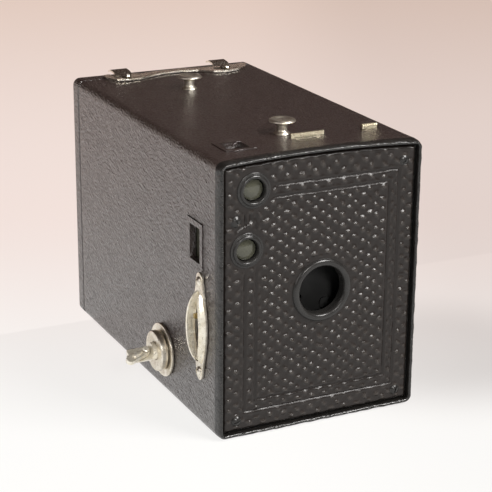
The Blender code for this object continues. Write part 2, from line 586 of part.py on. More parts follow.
def make_winding_key():
    centre = (KEY_Y, KEY_Z)
    plate_r, drum_r, sleeve_r, post_r = 0.01025, 0.00775, 0.0053, 0.00335
    plate_in, plate_out = LEFT_X - GAP, LEFT_X - 0.0012
    bore = sleeve_r + 0.0003
    turned("key_plate", [(plate_in, bore), (plate_in, plate_r), (plate_out + 0.0003, plate_r),
                         (plate_out, plate_r - 0.0004), (plate_out, bore)],
           "X", centre, "nickel", SEGMENTS, closed=True)
    drum_in, drum_out = plate_out - GAP, LEFT_X - 0.0042
    post_bore = post_r + 0.00015
    sleeve_end = LEFT_X + 0.0042
    drum = turned("key_drum", [(drum_in, sleeve_r), (drum_in, drum_r), (drum_out + 0.0008, drum_r),
                               (drum_out, drum_r - 0.0010), (drum_out, post_bore), (sleeve_end, post_bore),
                               (sleeve_end, sleeve_r - 0.0005), (sleeve_end - 0.0004, sleeve_r - 0.0005),
                               (sleeve_end - 0.0004, sleeve_r)],
                  "X", centre, "nickel", SEGMENTS, closed=True)
    clip_in = -IN_X + 0.0003
    clip = turned("key_circlip",
                  [(clip_in, sleeve_r + 0.0003), (clip_in, 0.0068), (clip_in + 0.0004, 0.0068),
                                  (clip_in + 0.0004, sleeve_r + 0.0003)],
                  "X", centre, "steel", 24, closed=True)
    turning = joint_empty("key_turn_axis", (LEFT_X, KEY_Y, KEY_Z))
    hang_on(turning, drum, clip)

    # post: cut to half its thickness outside, for the wing, with a flat blade inside for the spool
    end_x, inner_x, blade_x = LEFT_X - 0.0140, -SPOOL_HALF - 0.0013, -SPOOL_HALF + 0.0024
    post = turned("key_post",
                  [(end_x, 0), (end_x, post_r - 0.0003), (end_x + 0.0003, post_r), (inner_x, post_r),
                               (inner_x, 0)], "X", centre, "nickel", 24)
    join(post, block("add_key_blade", (inner_x - 0.001, KEY_Y - 0.0028, KEY_Z - 0.0005),
                     (blade_x, KEY_Y + 0.0028, KEY_Z + 0.0005), "nickel"))
    pin_x = LEFT_X - 0.0079
    pivot = Vector((pin_x, KEY_Y, KEY_Z))
    lean = Matrix.Rotation(math.radians(90 - WING_PIN_RISE), 4, "X")

    def leaned(obj):
        """Turn a piece drawn with the wing's pin along Z, so that the pin leans forward."""
        obj.data.transform(Matrix.Translation(pivot) @ lean @ Matrix.Translation(-pivot))
        return obj

    flat_z, wing_low, wing_top = KEY_Z - 0.0006, KEY_Z - 0.0003, KEY_Z + 0.0015
    cut(post,
        leaned(block("cut_post_half", (end_x - 0.002, KEY_Y - 0.006, flat_z),
                     (LEFT_X - 0.0056, KEY_Y + 0.006, KEY_Z + 0.006), "nickel")),
        leaned(prism("cut_post_pin", circle(pin_x, KEY_Y, 0.0010, 12), "Z", KEY_Z - 0.006, KEY_Z + 0.006,
                     "nickel")))
    pin_head = wing_top + GAP
    pin = leaned(turned("key_pin",
                        [(pin_head + 0.0006, 0), (pin_head + 0.0006, 0.0010), (pin_head + 0.0003, 0.0014),
                                    (pin_head, 0.0014), (pin_head, 0.0007), (KEY_Z - 0.0026, 0.0007),
                                    (KEY_Z - 0.0026, 0)], "Z", (pin_x, KEY_Y), "nickel", 12))
    length, end_r = 0.0074, 0.00175
    swing = math.radians(WING_REST)
    wing = leaned(prism("key_wing",
                        capsule(pin_x - length * math.cos(swing), KEY_Y - length * math.sin(swing),
                                            pin_x, KEY_Y, end_r), "Z", wing_low, wing_top, "nickel"))
    cut(wing,
        leaned(prism("cut_wing_pin", circle(pin_x, KEY_Y, 0.0010, 12), "Z", KEY_Z - 0.004, KEY_Z + 0.004,
                           "nickel")))
    hang_on(joint_empty("key_pull_axis", (LEFT_X, KEY_Y, KEY_Z)), post, pin)
    hang_on(joint_empty("key_fold_axis", pivot), wing)


# ---------------------------------------------------------------- top fittings


def make_slides_and_studs():
    for name, x, y in (("strap_stud_front", STUD_X[0], STUD_Y[0]),
                       ("strap_stud_rear", STUD_X[1], STUD_Y[1])):
        top = TOP_Z + 0.0056
        profile = [(top, 0), (top - 0.0001, 0.0034), (top - 0.0006, 0.0048), (top - 0.0010, 0.0050),
                   (top - 0.0015, 0.0046), (top - 0.0019, 0.0022), (TOP_Z + 0.0012, 0.0020),
                   (TOP_Z + 0.0005, 0.0042), (TOP_Z + GAP, 0.0044), (TOP_Z + GAP, 0.0013),
                   (TOP_Z - 0.0036, 0.0013), (TOP_Z - 0.0036, 0)]
        turned(name, profile, "Z", (x, y), "nickel", 20)


def make_latch():
    """Sliding bar on two rivets; its two fingers lie over the door's rim."""
    low, high = TOP_Z + 0.0005, TOP_Z + 0.0012
    outline = [(-0.0282, 0.0655), (-0.0290, 0.0610), (-0.0262, 0.0562), (-0.0210, 0.0545),
               (-0.0160, 0.0550),
               (-0.0110, 0.0575), (-0.0040, 0.0598), (0.0040, 0.0606), (0.0110, 0.0585), (0.0165, 0.0545),
               (0.0220, 0.0530), (0.0280, 0.0545), (0.0325, 0.0580), (0.0352, 0.0630), (0.0335, 0.0642),
               (0.0285, 0.0622), (0.0275, 0.0640), (0.0205, 0.0640), (0.0190, 0.0622), (0.0130, 0.0628),
               (0.0060, 0.0642), (-0.0060, 0.0636), (-0.0140, 0.0618), (-0.0165, 0.0640), (-0.0245, 0.0640),
               (-0.0262, 0.0660)]
    bar = prism("latch_bar", outline, "Z", low, high, "nickel")
    for i, middle in enumerate((-0.0205, 0.0240)):
        # each finger rises over the gap, then comes down on the rim
        thick = high - low
        spine = [(0.0630, low), (0.0655, low + 0.0008), (0.0690, low + 0.0011), (0.0716, low + 0.0003)]
        finger = spine + [(y, z + thick) for y, z in reversed(spine)]
        join(bar, prism(f"add_finger_{i}", finger, "X", middle - 0.0036, middle + 0.0036, "nickel"))
    for i, (x, y) in enumerate(LATCH_RIVETS):
        hole = capsule(x - LATCH_TRAVEL, y, x, y, 0.0015, 4)
        cut(bar, prism(f"cut_latch_slot_{i}", hole, "Z", TOP_Z - 0.001, TOP_Z + 0.003, "nickel"))
    hang_on(joint_empty("latch_axis", (0, 0.0600, TOP_Z)), bar)
    for name, (x, y) in zip(("latch_rivet_left", "latch_rivet_right"), LATCH_RIVETS):
        head = high + GAP
        profile = [(head + 0.0009, 0), (head + 0.0007, 0.0012), (head + 0.0003, 0.0020), (head, 0.0022),
                   (head, 0.0011), (TOP_Z - 0.0034, 0.0011), (TOP_Z - 0.0034, 0)]
        turned(name, profile, "Z", (x, y), "nickel", SMALL_SEGMENTS)


# ---------------------------------------------------------------- door


def make_door():
    seam = DOOR_GAP_Y + 0.0004
    door = prism("back_door", rounded(LEFT_X, 0, RIGHT_X, TOP_Z, EDGE_R), "Y", seam, BACK_Y, "leatherette")
    bevel = door.modifiers.new("back rounding", "BEVEL")
    bevel.width = 0.0010
    bevel.segments = 2
    bevel.limit_method = "ANGLE"
    bevel.angle_limit = math.radians(60)
    inner = rounded(LEFT_X + DOOR_RIM_T, DOOR_RIM_T, RIGHT_X - DOOR_RIM_T, TOP_Z - DOOR_RIM_T, 0.0010)
    window_x, window_z = RED_WINDOW
    cut(door,
        prism("cut_door_tray", inner, "Y", seam - 0.002, BACK_Y - DOOR_PLATE_T, "leatherette"),
        block("cut_door_hinge", (LEFT_X - 0.001, seam - 0.001, -0.001),
              (RIGHT_X + 0.001, HINGE_Y + HINGE_R + 0.0005, 0.0030),
              "leatherette"),
        prism("cut_red_window", circle(window_x, window_z, 0.0072, 24), "Y", BACK_Y - 0.006, BACK_Y + 0.002,
              "leatherette"))
    hinge = joint_empty("door_hinge_axis", (0, HINGE_Y, HINGE_Z))

    inner_y = BACK_Y - DOOR_PLATE_T
    ring_out, sleeve_in = BACK_Y + 0.0011, inner_y - 0.0006
    window_ring = turned("red_window_ring", [
        (ring_out, 0.0058), (sleeve_in, 0.0058), (sleeve_in, 0.0068), (BACK_Y + GAP, 0.0068),
        (BACK_Y + GAP, 0.0086), (BACK_Y + 0.0008, 0.0086), (ring_out, 0.0080)],
        "Y", (window_x, window_z), "nickel", 20, closed=True)
    window = turned("red_window",
                    [(BACK_Y - 0.0002, 0), (BACK_Y - 0.0002, 0.0055), (BACK_Y - 0.0009, 0.0055),
                                   (BACK_Y - 0.0009, 0)], "Y", (window_x, window_z), "red_glass", 20)
    pieces = [door, window_ring, window]

    # leaf spring inside the door, bowed towards the carrier
    middle_z, flat = 0.0740, inner_y - GAP
    spine = [(flat, middle_z - 0.0200), (flat, middle_z - 0.0150), (inner_y - 0.0050, middle_z),
             (flat, middle_z + 0.0150), (flat, middle_z + 0.0200)]
    leaf = spine + [(y - 0.0005, z) for y, z in reversed(spine)]
    spring = prism("carrier_spring", leaf, "X", -0.0050, 0.0050, "steel")
    pieces.append(spring)

    # hinge: body leaf and door leaf with alternate knuckles on one pin
    pin_r, knuckle_r = 0.0005, HINGE_R
    knuckles = 5
    pitch = 0.0120
    body_leaf = block("hinge_body_leaf", (-0.0300, HINGE_Y - 0.0034, IN_LOW + GAP),
                      (0.0300, HINGE_Y - 0.0014, IN_LOW + GAP + 0.0006), "steel")
    door_leaf = block("hinge_door_leaf", (-0.0300, HINGE_Y + 0.0016, 0.0017),
                      (0.0300, inner_y - GAP, 0.0023), "steel")
    for k in range(knuckles):
        left = -0.0300 + k * pitch + 0.00015
        right = left + pitch - 0.0003
        on_body = k % 2 == 0
        leaf_obj = body_leaf if on_body else door_leaf
        if on_body:
            web = [(HINGE_Y - 0.0008, HINGE_Z + 0.0002), (HINGE_Y + 0.0001, HINGE_Z + 0.0009),
                   (HINGE_Y - 0.0008, IN_LOW + GAP + 0.0006), (HINGE_Y - 0.0030, IN_LOW + GAP + 0.0006),
                   (HINGE_Y - 0.0030, IN_LOW + GAP), (HINGE_Y - 0.0009, IN_LOW + GAP)]
        else:
            web = [(HINGE_Y + 0.0002, HINGE_Z + 0.0006), (HINGE_Y + 0.0009, HINGE_Z + 0.0001),
                   (HINGE_Y + 0.0013, 0.0017), (HINGE_Y + 0.0030, 0.0017), (HINGE_Y + 0.0030, 0.0023),
                   (HINGE_Y + 0.0006, 0.0023)]
        join(leaf_obj,
             prism(f"add_knuckle_{k}", circle(HINGE_Y, HINGE_Z, knuckle_r, 12), "X", left, right, "steel"),
             prism(f"add_web_{k}", web, "X", left, right, "steel"))
    for leaf_obj in (body_leaf, door_leaf):
        cut(leaf_obj, prism(f"cut_{leaf_obj.name}", circle(HINGE_Y, HINGE_Z, pin_r + 0.0003, 12), "X",
                            -0.0400, 0.0400, "steel"))
    prism("hinge_pin", circle(HINGE_Y, HINGE_Z, pin_r, 12), "X", -0.0302, 0.0302, "steel")
    pieces.append(door_leaf)
    hang_on(hinge, *pieces)


# ---------------------------------------------------------------- film carrier


def make_carrier():
    """Light cone, film gate and two side plates in one piece, with rollers and the take-up spool."""
    front_half = (0.0090, 0.0110)
    rear_half = (GATE_W / 2, GATE_H / 2)
    wall = 0.0010

    def frustum(name, start, start_half, end, end_half):
        bm = bmesh.new()
        loops = []
        for y, (hw, hh) in ((start, start_half), (end, end_half)):
            loops.append([bm.verts.new((u, y, LENS_Z + v)) for u, v in rectangle(-hw, -hh, hw, hh)])
        for k in range(4):
            bm.faces.new([loops[0][k], loops[0][(k + 1) % 4], loops[1][(k + 1) % 4], loops[1][k]])
        bm.faces.new(loops[0])
        bm.faces.new(list(reversed(loops[1])))
        return finish_mesh(bm, name, "black_metal")

    length = FILM_Y - CARRIER_FRONT
    slope = ((rear_half[0] - front_half[0]) / length, (rear_half[1] - front_half[1]) / length)
    over = 0.002
    carrier = frustum("film_carrier", CARRIER_FRONT, tuple(h + wall for h in front_half), FILM_Y - 0.0008,
                      tuple(h + wall for h in rear_half))
    plate_low, plate_high = IN_LOW + 0.0005, IN_TOP - 0.0005
    plate_rear = FILM_Y + 0.0018
    # rear gate, and the web behind the spools that carries the cone's front end
    join(carrier,
         block("add_gate", (-CARRIER_X, FILM_Y - 0.0018, LENS_Z - GATE_H / 2 - wall),
               (CARRIER_X, FILM_Y - 0.0006, LENS_Z + GATE_H / 2 + wall), "black_metal"),
         block("add_front_web", (-CARRIER_X, CARRIER_FRONT, LENS_Z - 0.0150),
               (CARRIER_X, CARRIER_FRONT + 0.0010, LENS_Z + 0.0150), "black_metal"))
    for name, sign in (("left", -1), ("right", 1)):
        outer, inner = sign * CARRIER_X, sign * (CARRIER_X - CARRIER_T)
        join(carrier, block(f"add_plate_{name}", (min(outer, inner), CARRIER_FRONT, plate_low),
                            (max(outer, inner), plate_rear, plate_high), "black_metal"))
    cut(carrier, frustum("cut_cone", CARRIER_FRONT - over,
                         (front_half[0] - over * slope[0], front_half[1] - over * slope[1]),
                         FILM_Y + over, (rear_half[0] + over * slope[0], rear_half[1] + over * slope[1])))
    # round holes in the plates: key, spool pins and roller journals
    cut(carrier,
        prism("cut_carrier_key", circle(KEY_Y, KEY_Z, 0.0042, 20), "X", -CARRIER_X - 0.001,
              -CARRIER_X + 0.003, "black_metal"),
        prism("cut_carrier_pin_low", circle(KEY_Y, KEY_Z, 0.0024, 16), "X", CARRIER_X - 0.003,
              CARRIER_X + 0.001, "black_metal"),
        prism("cut_carrier_pin_high", circle(KEY_Y, SUPPLY_Z, 0.0024, 16), "X", -CARRIER_X - 0.001,
              CARRIER_X + 0.001, "black_metal"))
    for name, z in (("upper", BODY_H - ROLLER_Z), ("lower", ROLLER_Z)):
        cut(carrier, prism(f"cut_journal_{name}", circle(ROLLER_Y, z, 0.0012, 12), "X", -CARRIER_X - 0.001,
                           CARRIER_X + 0.001, "black_metal"))
        end, shoulder = CARRIER_X - 0.0002, CARRIER_X - CARRIER_T - 0.0004
        profile = [(-end, 0), (-end, 0.0009), (-shoulder, 0.0009), (-shoulder, ROLLER_R),
                   (shoulder, ROLLER_R),
                   (shoulder, 0.0009), (end, 0.0009), (end, 0)]
        roller = turned(f"film_roller_{name}", profile, "X", (ROLLER_Y, z), "nickel", SMALL_SEGMENTS)
        hang_on(joint_empty(f"roller_{name}_axis", (0, ROLLER_Y, z)), roller)

    # spool pins: the right-hand ends of both spools, on leaf springs outside the plate
    for name, z in (("upper", SUPPLY_Z), ("lower", KEY_Z)):
        leaf_in = CARRIER_X + 0.0003
        leaf = block(f"spool_spring_{name}", (leaf_in, KEY_Y - 0.0030, z - 0.0030),
                     (leaf_in + 0.0005, KEY_Y + 0.0220, z + 0.0030), "steel")
        join(leaf, turned(f"add_spool_pin_{name}", [(leaf_in + 0.0004, 0), (leaf_in + 0.0004, 0.0020),
                                                    (SPOOL_HALF - 0.0024, 0.0020),
                                                    (SPOOL_HALF - 0.0030, 0.0014),
                                                    (SPOOL_HALF - 0.0030, 0)],
                          "X", (KEY_Y, z), "steel", SMALL_SEGMENTS))
    pin = [(-CARRIER_X - 0.0008, 0), (-CARRIER_X - 0.0008, 0.0034), (-CARRIER_X - 0.0003, 0.0034),
           (-CARRIER_X - 0.0003, 0.0020), (-SPOOL_HALF + 0.0022, 0.0020), (-SPOOL_HALF + 0.0028, 0.0014),
           (-SPOOL_HALF + 0.0028, 0)]
    turned("spool_pin_upper", pin, "X", (KEY_Y, SUPPLY_Z), "steel", SMALL_SEGMENTS)

    # empty take-up spool: wooden core with metal flanges in one turned piece
    core_r, flange_t = 0.0058, 0.0007
    profile = [(-SPOOL_HALF, 0), (-SPOOL_HALF, SPOOL_R), (-SPOOL_HALF + flange_t, SPOOL_R),
               (-SPOOL_HALF + flange_t, core_r), (SPOOL_HALF - flange_t, core_r),
               (SPOOL_HALF - flange_t, SPOOL_R),
               (SPOOL_HALF, SPOOL_R), (SPOOL_HALF, 0)]
    spool = turned("takeup_spool", profile, "X", (KEY_Y, KEY_Z), "wood", SEGMENTS)
    cut(spool,
        block("cut_spool_slot", (-SPOOL_HALF - 0.001, KEY_Y - 0.0034, KEY_Z - 0.0009),
              (-SPOOL_HALF + 0.0032, KEY_Y + 0.0034, KEY_Z + 0.0009), "wood"),
        prism("cut_spool_bore", circle(KEY_Y, KEY_Z, 0.0024, SMALL_SEGMENTS), "X", SPOOL_HALF - 0.0038,
              SPOOL_HALF + 0.001, "wood"),
        block("cut_film_slit", (-0.0250, KEY_Y - 0.0100, KEY_Z - 0.0006),
              (0.0250, KEY_Y + 0.0100, KEY_Z + 0.0006),
              "wood"))
    hang_on(joint_empty("spool_axis", (0, KEY_Y, KEY_Z)), spool)


def make_tripod_sockets():
    """Threaded bushes, flush with the leatherette: a quarter-inch thread stands as a plain bore."""
    bottom = [(0.0, SOCKET_THREAD_R + 0.0003), (0.0, SOCKET_R - 0.0002), (GAP, SOCKET_R),
              (0.0030, SOCKET_R), (0.0030, 0.0052), (0.0070, 0.0052), (0.0070, SOCKET_THREAD_R)]
    turned("tripod_socket_bottom", bottom, "Z", (0, SOCKET_BOTTOM_Y), "brass", 20, closed=True)
    side = [(RIGHT_X - along, radius) for along, radius in (
        (0.0, SOCKET_THREAD_R + 0.0003), (0.0, SOCKET_R - 0.0002), (GAP, SOCKET_R), (0.0027, SOCKET_R),
        (0.0027, 0.0052), (0.0040, 0.0052), (0.0040, SOCKET_THREAD_R))]
    turned("tripod_socket_side", side, "X", SOCKET_SIDE, "brass", 20, closed=True)


def main():
    for obj in list(bpy.data.objects):
        bpy.data.objects.remove(obj)
    make_body_shell()
    make_front()
    make_finders()
    make_shutter()
    make_lever_guard()
    make_winding_key()
    make_slides_and_studs()
    make_latch()
    make_door()
    make_carrier()
    make_tripod_sockets()


main()
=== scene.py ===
"""Box camera: visible pieces, materials, floor, lights and camera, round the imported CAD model."""

import math

import bmesh
import bpy
import numpy as np
from mathutils import Matrix, Vector, noise


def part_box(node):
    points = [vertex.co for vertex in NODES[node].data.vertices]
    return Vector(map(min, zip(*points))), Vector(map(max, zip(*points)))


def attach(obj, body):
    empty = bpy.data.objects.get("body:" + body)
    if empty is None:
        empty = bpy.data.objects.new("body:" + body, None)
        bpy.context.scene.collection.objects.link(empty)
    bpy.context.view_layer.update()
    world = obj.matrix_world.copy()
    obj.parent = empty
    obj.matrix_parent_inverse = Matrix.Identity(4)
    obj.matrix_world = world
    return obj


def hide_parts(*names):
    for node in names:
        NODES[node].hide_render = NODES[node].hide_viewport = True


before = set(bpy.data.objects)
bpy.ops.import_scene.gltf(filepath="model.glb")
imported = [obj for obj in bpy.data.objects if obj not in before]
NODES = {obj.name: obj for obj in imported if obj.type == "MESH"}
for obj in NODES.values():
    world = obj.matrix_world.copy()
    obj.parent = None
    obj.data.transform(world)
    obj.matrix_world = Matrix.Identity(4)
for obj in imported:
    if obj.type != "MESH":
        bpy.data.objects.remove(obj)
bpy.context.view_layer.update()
MM = 0.001

# ---- sizes, from the frame

CASE_LOW, CASE_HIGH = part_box("body_shell")
DOOR_LOW, DOOR_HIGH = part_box("back_door")
PANEL_LOW, PANEL_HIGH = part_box("front_panel")
LEFT_X, RIGHT_X = CASE_LOW.x, CASE_HIGH.x
TOP_Z = CASE_HIGH.z
FRONT_Y, BACK_Y = CASE_LOW.y, DOOR_HIGH.y
SPIGOT_END_Y = CASE_HIGH.y
PANEL_Y = PANEL_LOW.y
HINGE_Y = (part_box("hinge_pin")[0].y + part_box("hinge_pin")[1].y) / 2

WALL = 3.2 * MM  # card and leatherette wall
LEDGE = 4.2 * MM  # from the outside to the edge of the ledge behind the front panel
SPIGOT = 1.8 * MM  # from the outside to the spigot that the door closes over
EDGE_R = 3.0 * MM  # rounding of the long edges
RIM_W = 1.8 * MM  # rim round the front panel
RIM_ROUNDING = 4.4 * MM  # how far back the sides start to curve into the rim
RIM_DEEP = 3.6 * MM  # how far back the rim's smoother leather goes
PANEL_GAP = 0.6 * MM
BOW = 1.7 * MM  # how far the top's front edge has swelled upwards in the middle
LEDGE_BACK_Y = FRONT_Y + 7.0 * MM
CASE_END_Y = DOOR_LOW.y - 0.4 * MM
GAP = 0.3 * MM
CUT_IN, CUT_OUT = 6 * MM, 2 * MM  # how far a cut through the case reaches inwards and outwards


def middle(node):
    """The middle of a CAD node's box."""
    low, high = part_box(node)
    return (low + high) / 2


# ---- camera

CAMERA_PLACE = Vector((-0.2524, -0.5227, 0.2461))
CAMERA_AZIMUTH, CAMERA_ELEVATION, CAMERA_ROLL = (math.radians(a) for a in (-26.22, 19.06, 0.48))
CAMERA_LENS = 114.1


def make_camera():
    """Camera at the photograph's viewing angle."""
    right = Vector((math.cos(CAMERA_AZIMUTH), math.sin(CAMERA_AZIMUTH), 0))
    level = math.cos(CAMERA_ELEVATION)
    back = Vector((right.y * level, -right.x * level, math.sin(CAMERA_ELEVATION)))
    up = back.cross(right)
    turn = Matrix((right, up, back)).transposed() @ Matrix.Rotation(CAMERA_ROLL, 3, "Z")
    data = bpy.data.cameras.new("camera")
    data.lens = CAMERA_LENS
    data.sensor_width = 36.0
    data.clip_start = 0.01
    camera = bpy.data.objects.new("camera", data)
    camera.matrix_world = Matrix.Translation(CAMERA_PLACE) @ turn.to_4x4()
    bpy.context.scene.collection.objects.link(camera)
    bpy.context.scene.camera = camera


# ---- material nodes


class Graph:
    """A material's node tree, with one short call for each kind of node."""

    def __init__(self, name):
        self.material = bpy.data.materials.new(name)
        self.material.use_nodes = True
        self.tree = self.material.node_tree
        self.shader = self.tree.nodes["Principled BSDF"]
        self.point = self.add("TexCoord").outputs["Object"]

    def add(self, kind, **settings):
        node = self.tree.nodes.new("ShaderNode" + kind)
        for key, value in settings.items():
            setattr(node, key, value)
        return node

    def feed(self, socket, value):
        """A socket gets a link, and anything else is a fixed value."""
        if isinstance(value, bpy.types.NodeSocket):
            self.tree.links.new(value, socket)
        elif hasattr(value, "__len__") and len(value) == 3 and socket.type == "RGBA":
            socket.default_value = (*value, 1)
        else:
            socket.default_value = value

    def set(self, **inputs):
        """Values or links for the shader's inputs, by name with _ for a space."""
        for key, value in inputs.items():
            self.feed(self.shader.inputs[key.replace("_", " ")], value)

    def math(self, operation, a, b=0.0):
        node = self.add("Math", operation=operation)
        self.feed(node.inputs[0], a)
        self.feed(node.inputs[1], b)
        return node.outputs[0]

    def total(self, *weighted):
        """Sum of (socket, weight) pairs."""
        made = self.math("MULTIPLY", *weighted[0])
        for value, weight in weighted[1:]:
            made = self.math("ADD", made, self.math("MULTIPLY", value, weight))
        return made

    def ramp(self, value, low, high):
        """value from low to high becomes 0 to 1, smoothly."""
        node = self.add("MapRange", interpolation_type="SMOOTHSTEP")
        for i, v in enumerate((value, low, high)):
            self.feed(node.inputs[i], v)
        return node.outputs[0]

    def sized(self, size, direction=None):
        """The point, measured in feature sizes in metres, the first of them along direction."""
        node = self.add("Mapping", vector_type="TEXTURE")
        self.feed(node.inputs["Vector"], self.point)
        node.inputs["Scale"].default_value = size if hasattr(size, "__len__") else (size,) * 3
        if direction is not None:
            turn = Vector(direction).to_track_quat("X", "Z")
            node.inputs["Rotation"].default_value = turn.to_euler()
        return node.outputs[0]

    def noise(self, size, detail, direction=None, distortion=0.0):
        node = self.add("TexNoise")
        self.feed(node.inputs["Vector"], self.sized(size, direction))
        for key, value in (("Scale", 1.0), ("Detail", detail), ("Distortion", distortion)):
            node.inputs[key].default_value = value
        return node.outputs[0]

    def cells(self, size, direction=None):
        """Distance to the nearest edge between cells."""
        node = self.add("TexVoronoi", feature="DISTANCE_TO_EDGE")
        self.feed(node.inputs["Vector"], self.sized(size, direction))
        node.inputs["Scale"].default_value = 1.0
        return node.outputs["Distance"]

    def mix(self, factor, a, b):
        """Colour a where factor is 0 and b where it is 1."""
        node = self.add("Mix", data_type="RGBA")
        self.feed(node.inputs["Factor"], factor)
        self.feed(node.inputs[6], a)
        self.feed(node.inputs[7], b)
        return node.outputs[2]

    def bump(self, height, distance):
        """Relief in the shader and its coat."""
        node = self.add("Bump")
        node.inputs["Distance"].default_value = distance
        self.feed(node.inputs["Height"], height)
        self.feed(self.shader.inputs["Normal"], node.outputs[0])
        self.feed(self.shader.inputs["Coat Normal"], node.outputs[0])

    def attribute(self, name):
        return self.add("Attribute", attribute_name=name).outputs["Fac"]

    def axis(self, index):
        node = self.add("SeparateXYZ")
        self.feed(node.inputs[0], self.point)
        return node.outputs[index]


GRAIN = (0.30, -0.84, -0.45)  # the way the leatherette's grain runs


def leather(name, base, rough, relief):
    """Black leatherette: long fine pebbles between creases, varnished, greyer where rubbed."""
    g = Graph(name)
    wear_and_glint = g.attribute("wear_and_glint")
    pebble = g.ramp(g.cells((3.6 * MM, 0.95 * MM, 0.95 * MM), GRAIN), 0.02, 0.34)
    streak = g.noise((6.5 * MM, 1.0 * MM, 1.0 * MM), 3, GRAIN, 0.5)
    wrinkle = g.noise((9.0 * MM, 2.6 * MM, 2.6 * MM), 2, GRAIN, 0.4)
    fine = g.noise(0.28 * MM, 3)
    patch = g.noise(11 * MM, 3)
    rubbed = g.math("MULTIPLY", wear_and_glint, g.ramp(g.noise(0.8 * MM, 5), 0.46, 0.62))
    tone = g.mix(g.total((streak, 0.6), (patch, 0.4)), base, [c * 1.9 for c in base])
    tone = g.mix(g.math("MULTIPLY", rubbed, 0.5), tone, (0.17, 0.14, 0.12))
    g.bump(g.total((pebble, 0.40), (streak, 1.0), (wrinkle, 0.8), (fine, 0.15)), relief)
    dull = g.total((patch, 0.10), (fine, 0.08), (pebble, -0.14), (streak, -0.2))
    g.set(Base_Color=tone, Roughness=g.math("ADD", dull, rough + 0.22), IOR=1.5,
          Specular_IOR_Level=0.5, Coat_Weight=1.0, Coat_Roughness=rough, Coat_IOR=1.75)
    return g.material


def rim_leather():
    """The leather rolled over the front edge: smooth, black, crackled and lumpy."""
    g = Graph("rim_leatherette")
    wear_and_glint = g.attribute("wear_and_glint")
    lump = g.noise(2.4 * MM, 4, None, 1.0)
    crackle = g.ramp(g.cells(1.3 * MM), 0.0, 0.10)
    fine = g.noise(0.3 * MM, 3)
    rubbed = g.math("MULTIPLY", wear_and_glint, g.ramp(g.noise(0.9 * MM, 5), 0.50, 0.66))
    tone = g.mix(lump, (0.005, 0.0048, 0.0045), (0.012, 0.011, 0.010))
    tone = g.mix(g.math("MULTIPLY", rubbed, 0.15), tone, (0.17, 0.15, 0.13))
    g.bump(g.total((lump, 1.0), (crackle, 0.12), (fine, 0.05)), 0.36 * MM)
    dull = g.total((lump, 0.10), (fine, 0.04))
    g.set(Base_Color=tone, Roughness=g.math("ADD", dull, 0.12), IOR=1.5, Specular_IOR_Level=0.6)
    return g.material


def panel_leather():
    """Embossed black cover of the front panel: glossy, fine grained, its high spots polished and
    painted lighter as a glint.
    """
    g = Graph("panel_leatherette")
    high = g.attribute("wear_and_glint")
    fine = g.noise(0.40 * MM, 4)
    grain = g.ramp(g.cells(0.7 * MM), 0.0, 0.35)
    patch = g.noise(14 * MM, 2)
    tone = g.mix(patch, (0.0060, 0.0042, 0.0034), (0.0130, 0.0095, 0.0080))
    # painted highlight: the bump tips are lightened as a glint, on top of being polished
    tone = g.mix(g.math("MULTIPLY", high, 0.5), tone, (0.060, 0.052, 0.046))
    g.bump(g.total((fine, 0.6), (grain, 0.4)), 0.045 * MM)
    rough = g.total((patch, 0.06), (fine, 0.10), (high, -0.06))
    g.set(Base_Color=tone, Roughness=g.math("ADD", rough, 0.23), IOR=1.5, Specular_IOR_Level=0.39)
    return g.material


def plated(name, bright, dull, rough, spots=0.65, metal=1.0):
    """Old plating: cloudy tarnish, dark specks and hair scratches, and less metal under a bloom."""
    g = Graph(name)
    cloud = g.noise(3.5 * MM, 5, None, 0.5)
    speck = g.ramp(g.noise(0.55 * MM, 4), 0.57, 0.70)
    scratch = g.noise((6 * MM, 0.12 * MM, 0.12 * MM), 2, (0.3, 0.5, 0.8))
    tone = g.mix(g.ramp(cloud, 0.35, 0.70), bright, dull)
    tone = g.mix(g.math("MULTIPLY", speck, spots), tone, [c * 0.30 for c in dull])
    g.bump(g.total((cloud, 0.5), (scratch, 0.25), (speck, -0.5)), 0.03 * MM)
    g.set(Base_Color=tone, Metallic=metal,
          Roughness=g.math("ADD", g.total((cloud, 0.16), (scratch, 0.05), (speck, 0.20)), rough))
    return g.material


def slide_brass():
    """Thin brass strip, bright where fingers pull it above the case, with painted shade blackening
    it inside.
    """
    g = Graph("slide_brass")
    cloud = g.noise(1.2 * MM, 4)
    serration = g.math("SINE", g.math("MULTIPLY", g.axis(0), 2 * math.pi / (0.9 * MM)))
    # painted shade: below the case's top the strip is painted near black
    out = g.ramp(g.axis(2), TOP_Z - 1.5 * MM, TOP_Z - 0.5 * MM)
    bright = g.mix(cloud, (0.95, 0.88, 0.70), (0.74, 0.64, 0.42))
    g.bump(g.total((cloud, 0.3), (serration, 0.5)), 0.10 * MM)
    g.set(Base_Color=g.mix(out, (0.012, 0.011, 0.010), bright), Metallic=1.0,
          Roughness=g.math("ADD", g.total((cloud, 0.15), (out, -0.15)), 0.40))
    return g.material


def lacquer(name, base, rough=0.45, relief=0.05 * MM):
    """Black lacquer or paper, slightly uneven and dusty."""
    g = Graph(name)
    cloud = g.noise(5 * MM, 4)
    fine = g.noise(0.3 * MM, 3)
    g.bump(g.total((cloud, 0.6), (fine, 0.4)), relief)
    g.set(Base_Color=g.mix(cloud, base, [c * 2.2 for c in base]),
          Roughness=g.math("ADD", g.total((cloud, 0.15), (fine, 0.1)), rough), IOR=1.45)
    return g.material


def window_glass(name, tint, haze):
    """Old finder glass: dusty, with a grey film that hides most of what is behind it."""
    g = Graph(name)
    cloud = g.noise(2.5 * MM, 4)
    fine = g.noise(0.3 * MM, 2)
    g.bump(fine, 0.006 * MM)
    g.set(Base_Color=g.mix(cloud, tint, [c * 0.55 for c in tint]), IOR=1.5,
          Roughness=g.math("ADD", g.total((cloud, 0.12)), 0.05), Transmission_Weight=haze)
    return g.material


